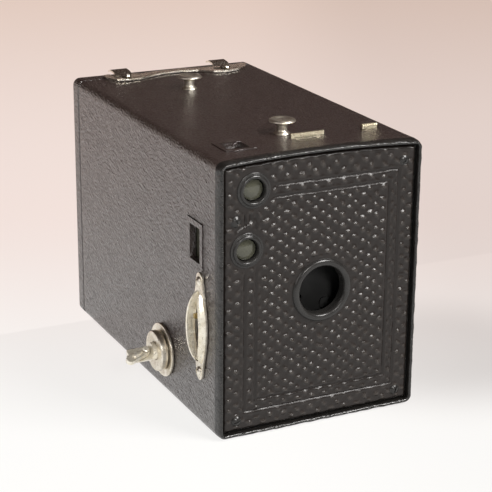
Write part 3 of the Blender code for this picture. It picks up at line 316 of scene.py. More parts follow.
def mirror():
    """Silvered glass, with dark spots."""
    g = Graph("silvered_glass")
    spot = g.ramp(g.noise(0.9 * MM, 4), 0.55, 0.75)
    g.set(Base_Color=g.mix(spot, (0.82, 0.83, 0.84), (0.25, 0.22, 0.18)), Metallic=1.0,
          Roughness=g.math("ADD", g.math("MULTIPLY", spot, 0.35), 0.04))
    return g.material


def turned_wood():
    """Spool core: fine straight grain along the spool, darkened by handling."""
    g = Graph("spool_wood")
    grain = g.noise((14 * MM, 0.6 * MM, 0.6 * MM), 4, (1, 0, 0), 0.4)
    pore = g.ramp(g.noise((3 * MM, 0.15 * MM, 0.15 * MM), 2, (1, 0, 0)), 0.58, 0.70)
    tone = g.mix(grain, (0.30, 0.17, 0.08), (0.12, 0.06, 0.03))
    g.bump(g.total((grain, 0.4), (pore, -0.6)), 0.05 * MM)
    g.set(Base_Color=g.mix(g.math("MULTIPLY", pore, 0.6), tone, (0.05, 0.03, 0.02)),
          Roughness=g.math("ADD", g.math("MULTIPLY", grain, 0.2), 0.4))
    return g.material


NICKEL = (0.90, 0.85, 0.75)
NICKEL_DULL = (0.66, 0.60, 0.49)
BLOOM = (0.95, 0.91, 0.80)
BLOOM_DULL = (0.74, 0.68, 0.54)
LEATHER_BLACK = (0.014, 0.0075, 0.0062)
LACQUER_BLACK = (0.010, 0.0095, 0.009)
LOOKS = {  # material, and the record's slot that it stands for
    "leather": (leather("case_leatherette", LEATHER_BLACK, 0.24, 0.42 * MM), "leatherette"),
    "rim": (rim_leather(), "leatherette"),
    "panel": (panel_leather(), "panel_black"),
    "nickel": (plated("aged_nickel", NICKEL, NICKEL_DULL, 0.23), "nickel"),
    "bloomed": (plated("bloomed_nickel", BLOOM, BLOOM_DULL, 0.22, 0.65, 0.45), "nickel"),
    "polished": (plated("polished_nickel", NICKEL, NICKEL_DULL, 0.08, 0.3), "nickel"),
    "slide": (slide_brass(), "brass"),
    "brass": (plated("old_brass", (0.66, 0.52, 0.25), (0.30, 0.23, 0.11), 0.24), "brass"),
    "steel": (plated("plain_steel", (0.50, 0.50, 0.50), (0.26, 0.24, 0.22), 0.26), "steel"),
    "black": (lacquer("black_lacquer", (0.010, 0.010, 0.010)), "black_metal"),
    "black_eyelet": (lacquer("eyelet_lacquer", LACQUER_BLACK, 0.14, 0.02 * MM), "panel_black"),
    "glass": (window_glass("finder_glass", (0.15, 0.15, 0.11), 0.55), "glass"),
    "red_glass": (window_glass("red_filter", (0.30, 0.012, 0.008), 0.35), "red_glass"),
    "mirror": (mirror(), "mirror"),
    "wood": (turned_wood(), "wood"),
}

# ---- mesh helpers

AXES = {"X": (0, 1, 2), "Y": (1, 0, 2), "Z": (2, 0, 1)}  # along, then the two across


def point(axis, along, u, v):
    made = [0.0, 0.0, 0.0]
    a, i, j = AXES[axis]
    made[a], made[i], made[j] = along, u, v
    return made


def filleted(points, radius, steps=4, closed=True):
    """The polyline with its corners rounded to radius, or to less where its edges are short."""
    corners = [Vector(p) for p in points]
    made = []
    for i, p in enumerate(corners):
        if not closed and i in (0, len(corners) - 1):
            made.append(p)
            continue
        before, after = corners[i - 1] - p, corners[(i + 1) % len(corners)] - p
        start = p + before.normalized() * min(radius, before.length * 0.48)
        end = p + after.normalized() * min(radius, after.length * 0.48)
        for k in range(steps + 1):
            t = k / steps
            made.append((1 - t) ** 2 * start + 2 * t * (1 - t) * p + t * t * end)
    return [tuple(p) for p in made]


def circle(u, v, radius, steps=64):
    turns = [2 * math.pi * k / steps for k in range(steps)]
    return [(u + radius * math.cos(a), v + radius * math.sin(a)) for a in turns]


def box_outline(u0, v0, u1, v1):
    return [(u0, v0), (u1, v0), (u1, v1), (u0, v1)]


def slab(outline, axis, start, end):
    """Vertices and faces of an outline pushed along an axis."""
    n = len(outline)
    verts = [point(axis, along, u, v) for along in (start, end) for u, v in outline]
    faces = [tuple(range(n)), tuple(range(n, 2 * n))]
    faces += [(k, (k + 1) % n, n + (k + 1) % n, n + k) for k in range(n)]
    return verts, faces


def lathe(profile, axis, centre, segments=96, closed=False):
    """Vertices and faces of (along, radius) points turned about an axis."""
    verts, rows, faces = [], [], []
    for along, radius in profile:
        count = segments if radius > 1e-7 else 1
        rows.append(range(len(verts), len(verts) + count))
        for k in range(count):
            a = 2 * math.pi * k / segments
            u, v = centre[0] + radius * math.cos(a), centre[1] + radius * math.sin(a)
            verts.append(point(axis, along, u, v))
    for first, second in zip(rows, rows[1:] + ([rows[0]] if closed else [])):
        for k in range(segments):
            corners = [first[k % len(first)], first[(k + 1) % len(first)],
                       second[(k + 1) % len(second)], second[k % len(second)]]
            corners = list(dict.fromkeys(corners))
            if len(corners) > 2:
                faces.append(corners)
    return verts, faces


def make_object(name, shape):
    mesh = bpy.data.meshes.new(name)
    mesh.from_pydata(shape[0], [], shape[1])
    bm = bmesh.new()
    bm.from_mesh(mesh)
    bmesh.ops.recalc_face_normals(bm, faces=bm.faces)
    bm.to_mesh(mesh)
    bm.free()
    obj = bpy.data.objects.new(name, mesh)
    bpy.context.scene.collection.objects.link(obj)
    return obj


def applied(obj):
    """Bake the object's modifiers into its mesh."""
    mesh = bpy.data.meshes.new_from_object(obj.evaluated_get(bpy.context.evaluated_depsgraph_get()))
    obj.modifiers.clear()
    obj.data = mesh


def cut_out(obj, shapes):
    """Cut closed shapes out of a mesh."""
    for shape in shapes:
        tool = make_object("tool", shape)
        modifier = obj.modifiers.new("tool", "BOOLEAN")
        modifier.operation = "DIFFERENCE"
        modifier.solver = "EXACT"
        modifier.object = tool
        applied(obj)
        bpy.data.objects.remove(tool)


def piece(name, shape, look, body, *stands_for, bevel=0.0, segments=2, sharp=38, cuts=()):
    """A finished piece that rides on a body and stands for CAD nodes."""
    obj = make_object(name, shape)
    cut_out(obj, cuts)
    if bevel:
        edges = obj.modifiers.new("edges", "BEVEL")
        edges.width = bevel
        edges.segments = segments
        edges.limit_method = "ANGLE"
        edges.angle_limit = math.radians(35)
        applied(obj)
    mesh = obj.data
    mesh.shade_smooth()
    mesh.set_sharp_from_angle(angle=math.radians(sharp))
    material, slot_name = LOOKS[look]
    mesh.materials.clear()
    mesh.materials.append(material)
    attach(obj, body)
    if stands_for:
        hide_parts(*stands_for)
    return obj


def paint(obj, name, values):
    """A number for each vertex, which the material reads."""
    layer = obj.data.attributes.new(name, "FLOAT", "POINT")
    layer.data.foreach_set("value", np.asarray(values, np.float32))


def positions(obj):
    co = np.empty(len(obj.data.vertices) * 3, np.float32)
    obj.data.vertices.foreach_get("co", co)
    return co.reshape(-1, 3)


def rumple(p, size):
    """Smooth noise from -1 to 1 at a point, with features of a size in metres."""
    return noise.noise(Vector(p) / size)


# ---- case and door

ARC_STEPS = 8  # in each rounded long edge


def round_box_ring(inset, y, spacing):
    """Points round the box's outline, a distance inside it, as many for every inset."""
    radius = max(EDGE_R - inset, 0.12 * MM)
    half_w = max((RIGHT_X - LEFT_X) / 2 - inset - radius, 0.0)
    half_h = max(TOP_Z / 2 - inset - radius, 0.0)
    corners = [(half_w, -half_h, -90), (half_w, half_h, 0), (-half_w, half_h, 90),
               (-half_w, -half_h, 180)]

    def on_arc(corner, degrees):
        a = math.radians(degrees)
        return Vector((corner[0] + radius * math.cos(a), y,
                       TOP_Z / 2 + corner[1] + radius * math.sin(a)))

    made = []
    for i, corner in enumerate(corners):
        arc = [on_arc(corner, corner[2] + 90 * k / ARC_STEPS) for k in range(ARC_STEPS + 1)]
        following = corners[(i + 1) % 4]
        target = on_arc(following, following[2])
        count = round((TOP_Z if i % 2 == 0 else RIGHT_X - LEFT_X) / spacing)
        made += arc + [arc[-1].lerp(target, k / count) for k in range(1, count)]
    return made


def swept_wall(profile, spacing):
    """Vertices and faces of a wall whose section, (inset, y) points, runs round the outline."""
    rings = [round_box_ring(inset, y, spacing) for inset, y in profile]
    count = len(rings[0])
    verts = [p for ring in rings for p in ring]
    faces = []
    for r in range(len(rings)):
        a, b = r * count, ((r + 1) % len(rings)) * count
        faces += [(a + k, a + (k + 1) % count, b + (k + 1) % count, b + k) for k in range(count)]
    return verts, faces


def ladder(start, end, step):
    """Even steps from start towards end, without the end."""
    count = max(1, round(abs(end - start) / step))
    return [start + (end - start) * k / count for k in range(count)]


def leather_wear(points):
    """How rubbed the leather is: along the long edges, and at the front's and back's corners."""
    dx = RIGHT_X - np.abs(points[:, 0])
    dz = TOP_Z / 2 - np.abs(points[:, 2] - TOP_Z / 2)
    y = points[:, 1]
    at_end = (np.abs(y - FRONT_Y) < 2.2 * MM) | (np.abs(y - BACK_Y) < 1.6 * MM)
    long_edge = np.exp(-(np.maximum(dx, dz) / (1.3 * MM)) ** 2)
    end_edge = at_end * np.exp(-(np.minimum(dx, dz) / (1.5 * MM)) ** 2)
    return np.clip(long_edge + 0.8 * end_edge, 0, 1)


def swelled(points):
    """How far up each point has moved where the top has bowed near the front."""
    across = np.clip(1 - (points[:, 0] / RIGHT_X) ** 2, 0, 1)
    along = np.exp(-((points[:, 1] - FRONT_Y) / (8 * MM)) ** 2)
    t = np.clip((points[:, 2] - 93 * MM) / (6.5 * MM), 0, 1)
    return BOW * across * along * t * t * (3 - 2 * t)


def case_profile():
    """Section of the wall: outer skin, rounded rim, panel seat, ledge, inner wall, spigot."""
    seat_y = PANEL_HIGH.y + GAP
    outer = [(0, y) for y in ladder(CASE_END_Y - 0.3 * MM, FRONT_Y + RIM_ROUNDING, 2.0 * MM)]
    lip = 0.75 * MM
    crown = RIM_W - lip
    rim = [(crown * (1 - math.cos(a)), FRONT_Y + RIM_ROUNDING * (1 - math.sin(a)))
           for a in (math.radians(90 * k / 12) for k in range(13))]
    rim += [(crown + lip * math.sin(a), FRONT_Y + lip * (1 - math.cos(a)))
            for a in (math.radians(90 * k / 5) for k in range(1, 6))]
    rim += [(RIM_W, seat_y - 0.2 * MM), (RIM_W, seat_y)]
    ledge = [(LEDGE, seat_y), (LEDGE, LEDGE_BACK_Y), (WALL, LEDGE_BACK_Y)]
    inner = [(WALL, y) for y in ladder(LEDGE_BACK_Y + 6 * MM, SPIGOT_END_Y, 12 * MM)]
    spigot = [(WALL, SPIGOT_END_Y), (SPIGOT, SPIGOT_END_Y), (SPIGOT, CASE_END_Y),
              (0.4 * MM, CASE_END_Y), (0.1 * MM, CASE_END_Y - 0.1 * MM)]
    return outer + rim + ledge + inner + spigot


def cut_box(low, high):
    return slab(box_outline(low[0], low[1], high[0], high[1]), "Z", low[2], high[2])


def window_cut(node, on_top):
    """Box round a CAD node, a little bigger, through the case's top or left side."""
    low, high = (Vector(p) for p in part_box(node))
    grow = Vector((GAP, GAP, GAP))
    low, high = low - grow, high + grow
    if on_top:
        low.z, high.z = TOP_Z - CUT_IN, TOP_Z + CUT_OUT
    else:
        low.x, high.x = LEFT_X - CUT_OUT, LEFT_X + CUT_IN
    return cut_box(low, high)


def lumpy(obj, outside):
    """Dents and lumps of the leather along the surface's normals, more of them on the front rim."""
    points = positions(obj)
    normals = np.empty(points.size, np.float32)
    obj.data.vertices.foreach_get("normal", normals)
    on_rim = np.exp(-((points[:, 1] - FRONT_Y) / (2.6 * MM)) ** 2)
    rise = np.array([0.05 * rumple(p, 9 * MM) + 0.02 * rumple(p, 2.5 * MM)
                     + w * (0.17 * rumple(p, 3.0 * MM) + 0.10 * rumple(p, 1.3 * MM))
                     for p, w in zip(points, on_rim)]) * MM * outside
    points += normals.reshape(-1, 3) * rise[:, None].astype(np.float32)
    points[:, 2] += swelled(points)
    obj.data.vertices.foreach_set("co", points.ravel())


SLIDE_SLOTS = {"aperture_slide": (-2.8 * MM, 11.3 * MM), "time_slide": (26.1 * MM, 33.3 * MM)}
LEVER_SLOT = 24.5 * MM, 48.5 * MM  # in z, and the slots of the slides in x
KEY_HOLE_R, SOCKET_HOLE_R = 5.7 * MM, 7.1 * MM
HINGE_HALF = 32 * MM


def case_cuts():
    """Openings in the case for windows, slides, lever, key, tripod sockets and hinge."""
    guard = middle("lever_guard")
    key = middle("key_plate")
    cuts = [window_cut("finder_frame_top", True), window_cut("finder_frame_side", False)]
    for node, (start, end) in SLIDE_SLOTS.items():
        y = middle(node).y
        cuts.append(cut_box((start, y - 0.8 * MM, TOP_Z - CUT_IN),
                            (end, y + 0.8 * MM, TOP_Z + CUT_OUT)))
    cuts.append(cut_box((LEFT_X - CUT_OUT, guard.y - 1.6 * MM, LEVER_SLOT[0]),
                        (LEFT_X + CUT_IN, guard.y + 1.6 * MM, LEVER_SLOT[1])))
    cuts.append(slab(circle(key.y, key.z, KEY_HOLE_R, 48), "X", LEFT_X - CUT_OUT, LEFT_X + CUT_IN))
    at = middle("tripod_socket_bottom")
    cuts.append(slab(circle(at.x, at.y, SOCKET_HOLE_R), "Z", -CUT_OUT, CUT_IN))
    at = middle("tripod_socket_side")
    cuts.append(slab(circle(at.y, at.z, SOCKET_HOLE_R), "X", RIGHT_X - CUT_IN, RIGHT_X + CUT_OUT))
    cuts.append(cut_box((-HINGE_HALF, HINGE_Y - 1.5 * MM, -1 * MM),
                        (HINGE_HALF, BACK_Y, WALL + 1 * MM)))
    return cuts


def make_case():
    """The leather case. Its lumps come first, so that the openings cut through them are clean."""
    rings = case_profile()
    case = make_object("case_shape", swept_wall(rings, 1.0 * MM))
    inset, deep = np.repeat(rings, len(case.data.vertices) // len(rings), axis=0).T
    lumpy(case, ((inset < RIM_W - 0.2 * MM) & (deep < CASE_END_Y - 1 * MM)).astype(float))
    shape = ([tuple(v.co) for v in case.data.vertices],
             [tuple(f.vertices) for f in case.data.polygons])
    bpy.data.objects.remove(case)
    case = piece("leather_case", shape, "leather", "camera_body", "body_shell", cuts=case_cuts(),
                 sharp=50)
    paint(case, "wear_and_glint", leather_wear(positions(case)))
    case.data.materials.append(LOOKS["rim"][0])
    for face in case.data.polygons:
        face.material_index = int(face.center.y < FRONT_Y + RIM_DEEP)


def make_door():
    """Back door: rim, rounded back edge, flat back and an inner plate."""
    start, back, inner = DOOR_LOW.y, BACK_Y, BACK_Y - 1.6 * MM
    thick = 1.4 * MM
    edge = filleted([(0, start + 2 * MM), (0, back), (4 * MM, back)], 1.5 * MM, 6, closed=False)
    outer = [(thick, start), (0.3 * MM, start), (0, start + 0.3 * MM), (0, start + 1.2 * MM)] + edge
    reach = RIGHT_X - 0.12 * MM
    face = [(d, back) for d in ladder(5.5 * MM, reach, 1.6 * MM)] + [(reach, back)]
    plate = [(reach, inner)] + [(d, inner) for d in ladder(36 * MM, 4 * MM, 8 * MM)]
    rim = [(thick + 0.2 * MM, inner), (thick, inner - 0.2 * MM)]
    shape = swept_wall(outer + face + plate + rim, 1.1 * MM)
    window = middle("red_window")
    cuts = [cut_box((LEFT_X - CUT_OUT, start - 1 * MM, -CUT_OUT),
                    (RIGHT_X + CUT_OUT, HINGE_Y + 1.6 * MM, 3 * MM)),
            slab(circle(window.x, window.z, 7.2 * MM), "Y", back - CUT_IN, back + CUT_OUT)]
    door = piece("leather_door", shape, "leather", "door", "back_door", cuts=cuts, sharp=50)
    paint(door, "wear_and_glint", leather_wear(positions(door)))


# ---- front panel

PANEL_SIDE = RIGHT_X - RIM_W - PANEL_GAP
PANEL_BOTTOM, PANEL_TOP = RIM_W + PANEL_GAP, TOP_Z - RIM_W - PANEL_GAP
EMBOSS_OUTER = (-29.7, 9.2, 31.0, 92.0)  # left, low, right, high of the pressed frames, in mm
EMBOSS_INNER = (-25.5, 13.4, 27.0, 87.9)
BUMP_PITCH = (5.5, 4.2)  # mm between bumps across and up, with one in between


def frame_line(x, z, box):
    """Distance in mm from the outline of a box."""
    left, low, right, high = box
    dx = np.maximum(left - x, x - right)
    dz = np.maximum(low - z, z - high)
    outside = np.hypot(np.maximum(dx, 0), np.maximum(dz, 0))
    return np.where(np.maximum(dx, dz) > 0, outside, -np.maximum(dx, dz))


def near(x, z, centre, radius, soft):
    """1 within a radius in mm of a point, falling to 0 over a soft edge."""
    d = np.hypot(x - centre[0], z - centre[1])
    return np.clip((radius + soft - d) / soft, 0, 1)


def crease(x, z, points, width):
    """1 along a polyline in mm, falling to 0 over a width."""
    best = np.zeros_like(x)
    for (x0, z0), (x1, z1) in zip(points, points[1:]):
        run = np.array((x1 - x0, z1 - z0))
        t = np.clip(((x - x0) * run[0] + (z - z0) * run[1]) / run.dot(run), 0, 1)
        away = np.hypot(x - x0 - t * run[0], z - z0 - t * run[1])
        best = np.maximum(best, np.exp(-(away / width) ** 2))
    return best


def panel_relief(x, z, warp):
    """Height in mm of the pressed pattern, and how polished its high spots are, which also paints
    them lighter as a glint.
    """
    wx, wz, ripple = warp
    px, pz = x + 0.9 * wx, z + 0.9 * wz
    phase = 2 * math.pi * px / BUMP_PITCH[0], 2 * math.pi * pz / BUMP_PITCH[1]
    bumps = 0.56 * np.cos(phase[0] + phase[1]) + 0.44 * np.cos(phase[0] - phase[1])
    tips = np.clip(bumps + 0.22 * ripple, 0, 1) ** 1.4
    height = 0.12 * bumps + 0.56 * tips + 0.06 * ripple
    eyes = [((middle(node).x / MM, middle(node).z / MM), radius) for node, radius in
            (("lens_ring", 12.0), ("finder_ring_upper", 6.7), ("finder_ring_lower", 6.7))]
    line = flat = eye = np.zeros_like(x)
    for box in (EMBOSS_OUTER, EMBOSS_INNER):
        d = frame_line(x + 0.10 * wx, z + 0.10 * wz, box)
        line = np.maximum(line, np.exp(-(d / 0.44) ** 2))
        flat = np.maximum(flat, np.exp(-(d / 1.15) ** 4))
    for centre, radius in eyes:
        eye = np.maximum(eye, near(x, z, centre, radius, 1.4))
    keep_line = 1 - np.maximum(near(x, z, eyes[1][0], 7.5, 2), near(x, z, eyes[2][0], 7.0, 2))
    left, low, right, high = (v / MM for v in (-PANEL_SIDE, PANEL_BOTTOM, PANEL_SIDE, PANEL_TOP))
    edge = np.minimum(np.minimum(x - left, right - x), np.minimum(z - low, high - z))
    smooth_edge = np.clip(edge / 1.6, 0, 1)
    margin = ((x < EMBOSS_OUTER[0]) | (x > EMBOSS_OUTER[2])
              | (z < EMBOSS_OUTER[1]) | (z > EMBOSS_OUTER[3]))
    height = height * np.where(margin, 0.75 + 0.5 * ripple, 1.0)
    height = height * (1 - flat * keep_line) * (1 - eye) * smooth_edge
    height += 0.14 * flat * keep_line - 0.50 * line * keep_line
    for points, width, rise in CREASES:
        height += rise * crease(x + 0.3 * wx, z + 0.3 * wz, points, width) * (1 - eye)
    nail = circle(*NAIL, 16)
    height -= 0.22 * crease(x, z, nail + nail[:1], 0.22)
    height -= 0.9 * np.clip((1.0 - edge) / 1.0, 0, 1) ** 2
    bow = 0.35 * (1 - ((x - (left + right) / 2) / 37) ** 2) * (1 - ((z - 51) / 48) ** 2)
    return height + bow, tips * (1 - flat) * (1 - eye) * smooth_edge


NAIL = (-14.0, 94.6, 1.1)  # x, z and radius of a nail's faint ring under the cover, in mm
CREASES = [  # folds in the cover: points, half width and height in mm
    ([(-33.0, 76.6), (-30.6, 78.2), (-28.6, 79.0), (-26.8, 77.4), (-25.0, 75.2)], 0.45, 0.45),
    ([(-27.9, 84.0), (-27.4, 80.0)], 0.35, -0.40),
    ([(-29.5, 83.4), (-29.0, 80.4)], 0.30, 0.30),
    ([(-26.2, 80.8), (-24.8, 78.4)], 0.30, 0.30),
    ([(-34.5, 81.6), (-31.6, 82.2)], 0.30, 0.25),
    ([(32.6, 62.0), (36.0, 61.6)], 0.30, 0.25),
    ([(32.4, 57.6), (35.6, 57.8)], 0.30, 0.22),
    ([(32.8, 52.0), (36.2, 51.4)], 0.30, 0.25),
    ([(32.4, 45.6), (35.4, 45.9)], 0.30, 0.22),
    ([(32.8, 39.0), (36.0, 38.7)], 0.30, 0.22),
]


def make_front_panel():
    """A fine grid pressed into the pattern, with round holes for the eyelets and a flat back."""
    cell = 0.34 * MM
    nx = round(2 * PANEL_SIDE / cell)
    nz = round((PANEL_TOP - PANEL_BOTTOM) / cell)
    grid = np.meshgrid(np.linspace(-PANEL_SIDE, PANEL_SIDE, nx + 1),
                       np.linspace(PANEL_BOTTOM, PANEL_TOP, nz + 1), indexing="ij")
    x, z = (v.flatten() for v in grid)
    holes = [(middle("lens_ring"), 10.2 * MM), (middle("finder_ring_upper"), 5.0 * MM),
             (middle("finder_ring_lower"), 5.0 * MM)]
    gone = np.zeros(len(x), bool)
    for centre, radius in holes:
        dx, dz = x - centre.x, z - centre.z
        far = np.hypot(dx, dz)
        snap = np.abs(far - radius) < 0.55 * cell
        x[snap] = centre.x + dx[snap] / far[snap] * radius
        z[snap] = centre.z + dz[snap] / far[snap] * radius
        gone |= (far < radius) & ~snap
    wide, small = 3.4 * MM, 1.5 * MM
    warp = [np.array([noise.noise(Vector((a / wide, b / wide, layer))) for a, b in zip(x, z)])
            for layer in (1.5, 8.2)]
    warp.append(np.array([noise.fractal(Vector((a / small, b / small, 4.7)), 0.7, 2.2, 3)
                          for a, b in zip(x, z)]))
    height, tips = panel_relief(x / MM, z / MM, warp)
    number = np.arange(len(x)).reshape(nx + 1, nz + 1)
    quads = np.stack((number[:-1, :-1], number[1:, :-1], number[1:, 1:], number[:-1, 1:]), -1)
    quads = quads[~gone[quads].any(-1)]
    mesh = bpy.data.meshes.new("embossed_panel")
    points = np.stack((x, PANEL_Y - height * MM, z), 1)
    points[:, 2] += swelled(points)
    mesh.from_pydata(points.tolist(), [], quads.tolist())
    # the bump tips' mask: polished, and painted lighter as a glint
    wear_and_glint = mesh.attributes.new("wear_and_glint", "FLOAT", "POINT")
    wear_and_glint.data.foreach_set("value", tips.astype(np.float32))
    bm = bmesh.new()
    bm.from_mesh(mesh)
    bmesh.ops.delete(bm, geom=[v for v in bm.verts if not v.link_faces], context="VERTS")
    border = [e for e in bm.edges if e.is_boundary]
    made = bmesh.ops.extrude_edge_only(bm, edges=border)["geom"]
    back = [e for e in made if isinstance(e, bmesh.types.BMEdge) and e.is_boundary]
    for v in {v for e in back for v in e.verts}:
        v.co.y = PANEL_HIGH.y
    bmesh.ops.triangle_fill(bm, edges=back, use_beauty=False, use_dissolve=False)
    bmesh.ops.recalc_face_normals(bm, faces=bm.faces)
    in_order = sorted(bm.faces, key=lambda face: face.calc_center_median()[:])
    for k, face in enumerate(in_order):      # the extruded faces come in any order
        face.index = k
    bm.faces.sort()
    bm.to_mesh(mesh)
    bm.free()
    obj = bpy.data.objects.new("embossed_panel", mesh)
    bpy.context.scene.collection.objects.link(obj)
    mesh.shade_smooth()
    mesh.set_sharp_from_angle(angle=math.radians(60))
    mesh.materials.append(LOOKS["panel"][0])
    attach(obj, "camera_body")
    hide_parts("front_panel")


LENS_BEAD = [  # (y, radius) points round the sections of the rolled rings, in mm
    (0.1, 11.9), (-0.5, 11.7), (-1.3, 11.1), (-1.45, 10.2), (-1.2, 9.4), (-0.3, 8.9), (3.0, 8.9),
    (3.0, 9.9), (0.1, 9.9)]
FINDER_BEAD = [
    (0.1, 6.5), (-0.35, 6.3), (-0.45, 5.9), (-0.35, 5.6), (-0.9, 5.3), (-1.15, 4.8), (-0.95, 4.3),
    (-0.2, 4.05), (2.2, 4.05), (2.2, 4.7), (0.1, 4.7)]


def make_eyelet(name, node, bead, rounding, steps, segments):
    at = middle(node)
    ring = filleted([(PANEL_Y + y * MM, r * MM) for y, r in bead], rounding, steps)
    piece(name, lathe(ring, "Y", (at.x, at.z), segments, closed=True), "black_eyelet",
          "camera_body", node)


def make_eyelets():
    """Rolled rings of the lens hole and of the two finders, and the finders' front lenses."""
    make_eyelet("lens_eyelet", "lens_ring", LENS_BEAD, 0.4 * MM, 4, 128)
    for level in ("upper", "lower"):
        node = f"finder_ring_{level}"
        make_eyelet(f"finder_eyelet_{level}", node, FINDER_BEAD, 0.25 * MM, 3, 96)
        at = middle(node)
        front = PANEL_Y + 0.15 * MM
        dome = [(front + 0.75 * MM * (k / 8) ** 2, 3.7 * MM * k / 8) for k in range(9)]
        dome += [(front + 1.8 * MM, 3.7 * MM), (front + 1.8 * MM, 0)]
        piece(f"finder_glass_{level}", lathe(dome, "Y", (at.x, at.z), 64), "glass", "camera_body",
              f"finder_lens_{level}")


PANEL_SCREWS = {  # how far the slot is turned, in radians
    "panel_screw_upper_right": 0.9, "panel_screw_middle_left": 2.0,
    "panel_screw_lower_left": 0.3, "panel_screw_lower_right": 1.3,
}
GUARD_SCREWS = {"guard_screw_upper": 1.2, "guard_screw_lower": 1.5}


def slotted_screw(node, axis, radius, turned, look):
    """Round-head screw with a slot across its dome, in a CAD screw's place."""
    low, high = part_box(node)
    a, i, j = AXES[axis]
    face, tip = low[a], high[a]
    centre = ((low[i] + high[i]) / 2, (low[j] + high[j]) / 2)
    shank = 0.8 * MM
    seat = face + 1.1 * MM
    dome = [(face + 0.95 * MM * (k / 8) ** 2.2, radius * k / 8) for k in range(9)]
    profile = dome + [(seat, radius), (seat, shank), (tip, shank), (tip, 0)]
    across, along = 0.26 * MM, radius * 1.3
    c, s = math.cos(turned), math.sin(turned)
    bar = [(centre[0] + u * c - v * s, centre[1] + u * s + v * c)
           for u, v in box_outline(-along, -across, along, across)]
    groove = slab(bar, axis, face + 0.55 * MM, face - 1 * MM)
    head = lathe(profile, axis, centre, 48)
    piece(f"{node}_head", head, look, "camera_body", node, cuts=[groove])


def make_screws():
    for node, turned in PANEL_SCREWS.items():
        slotted_screw(node, "Y", 2.0 * MM, turned, "black_eyelet")
    for node, turned in GUARD_SCREWS.items():
        slotted_screw(node, "X", 1.8 * MM, turned, "nickel")


# ---- lever guard

GUARD_FACE = LEFT_X - 0.25 * MM  # where the guard's plate starts
GUARD_THICK = 0.8 * MM
GUARD_FINS = {  # side, extra reach, lean of the crest, part of the height
    "front": (-1, 0.3 * MM, 0.7 * MM, 0.76),
    "rear": (1, 0.0, 0.9 * MM, 1.0),
}


def guard_outline(at, half_len, half_w):
    """Leaf-shaped outline of the guard's plate, with round ends."""
    end_r, steps = 2.4 * MM, 24
    side = [(at.y + end_r + (half_w - end_r) * math.cos(t * math.pi / 2) ** 1.3,
             at.z + t * (half_len - end_r)) for t in (-1 + 2 * k / steps for k in range(steps + 1))]
    upper, lower = ([(at.y + sign * end_r * math.cos(a),
                      at.z + sign * (half_len - end_r + end_r * 1.15 * math.sin(a)))
                     for a in (math.pi * k / 12 for k in range(1, 12))] for sign in (1, -1))
    mirrored = [(2 * at.y - y, z) for y, z in reversed(side)]
    return side + upper + mirrored + lower


def guard_fin(at, sign, reach, lean, rise):
    """One fin: sections through a curved strip that rises to a leaning crest and ends in points."""
    half_len, count = 13.6 * MM, 72
    foot, thick = 0.55 * MM, 0.75 * MM
    root, belly = 1.35 * MM, 4.0 * MM
    rings = []
    for k in range(count + 1):
        t = -1 + 2 * k / count
        z = at.z - 0.2 * MM + t * half_len
        bulge = max(0.0, 1 - abs(t) ** 3.2) ** 0.55
        spread = 0.30 + 0.70 * math.cos(t * math.pi / 2) ** 0.9
        out = (reach - 0.3 * MM) * spread
        if sign < 0:
            base, tooth = root + (belly - root) * spread * 0.55, 0.0
        else:
            base = max(out - 1.0 * MM, 0.6 * out)
            tooth = 0.16 * MM if t < 0.1 and (k // 2) % 2 else 0.0
        crest = out - lean * bulge
        top = rise * bulge
        section = [(0.0, base), (0.30 * top + foot * bulge, base + 0.25 * MM + tooth),
                   (0.62 * top, (base + crest) / 2 - 0.1 * MM), (0.93 * top, crest - thick),
                   (top, crest - thick * 0.6), (top, crest - thick * 0.2),
                   (0.93 * top, crest + 0.05 * MM), (0.6 * top, crest + (out - crest) * 0.45),
                   (0.25 * top, out - 0.05 * MM), (0.0, out)]
        rings.append([(GUARD_FACE - GUARD_THICK * 0.5 - max(h, 0.02 * MM), at.y + sign * w, z)
                      for h, w in section])
    n = len(rings[0])
    verts = [p for ring in rings for p in ring]
    faces = [(r * n + k, r * n + (k + 1) % n, (r + 1) * n + (k + 1) % n, (r + 1) * n + k)
             for r in range(count) for k in range(n)]
    faces += [tuple(range(n)), tuple(range(count * n, (count + 1) * n))]
    return verts, faces


def make_guard():
    """Pressed nickel guard: a leaf-shaped plate with two fins beside the lever's slot."""
    at = middle("lever_guard")
    low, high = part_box("lever_guard")
    half_w = (high.y - low.y) / 2
    slot_low, slot_high = at.z - 11.3 * MM, at.z + 9.4 * MM
    slot_middle, half_slot = (slot_low + slot_high) / 2, (slot_high - slot_low) / 2
    slot = [(t, 1.0 * MM + 2.6 * MM * math.cos(t * math.pi / 2) ** 1.2)
            for t in (k / 12 for k in range(-12, 13))]
    slot = ([(at.y + w, slot_middle + t * half_slot) for t, w in slot]
            + [(at.y - 0.6 * w, slot_middle + t * half_slot) for t, w in reversed(slot)])
    cuts = [slab(slot, "X", GUARD_FACE + 2 * MM, GUARD_FACE - 10 * MM)]
    for node in reversed(GUARD_SCREWS):
        cuts.append(slab(circle(at.y, middle(node).z, 1.1 * MM, 24), "X",
                         GUARD_FACE + 2 * MM, GUARD_FACE - 4 * MM))
    outline = guard_outline(at, (high.z - low.z) / 2, half_w)
    piece("guard_plate", slab(outline, "X", GUARD_FACE, GUARD_FACE - GUARD_THICK), "nickel",
          "camera_body", "lever_guard", cuts=cuts, bevel=0.18 * MM, segments=3)
    rise = GUARD_FACE - GUARD_THICK - low.x
    for name, (sign, extra, lean, tall) in GUARD_FINS.items():
        fin = guard_fin(at, sign, half_w + extra, lean, rise * tall)
        piece(f"guard_fin_{name}", fin, "bloomed", "camera_body", sharp=42)


# ---- winding key


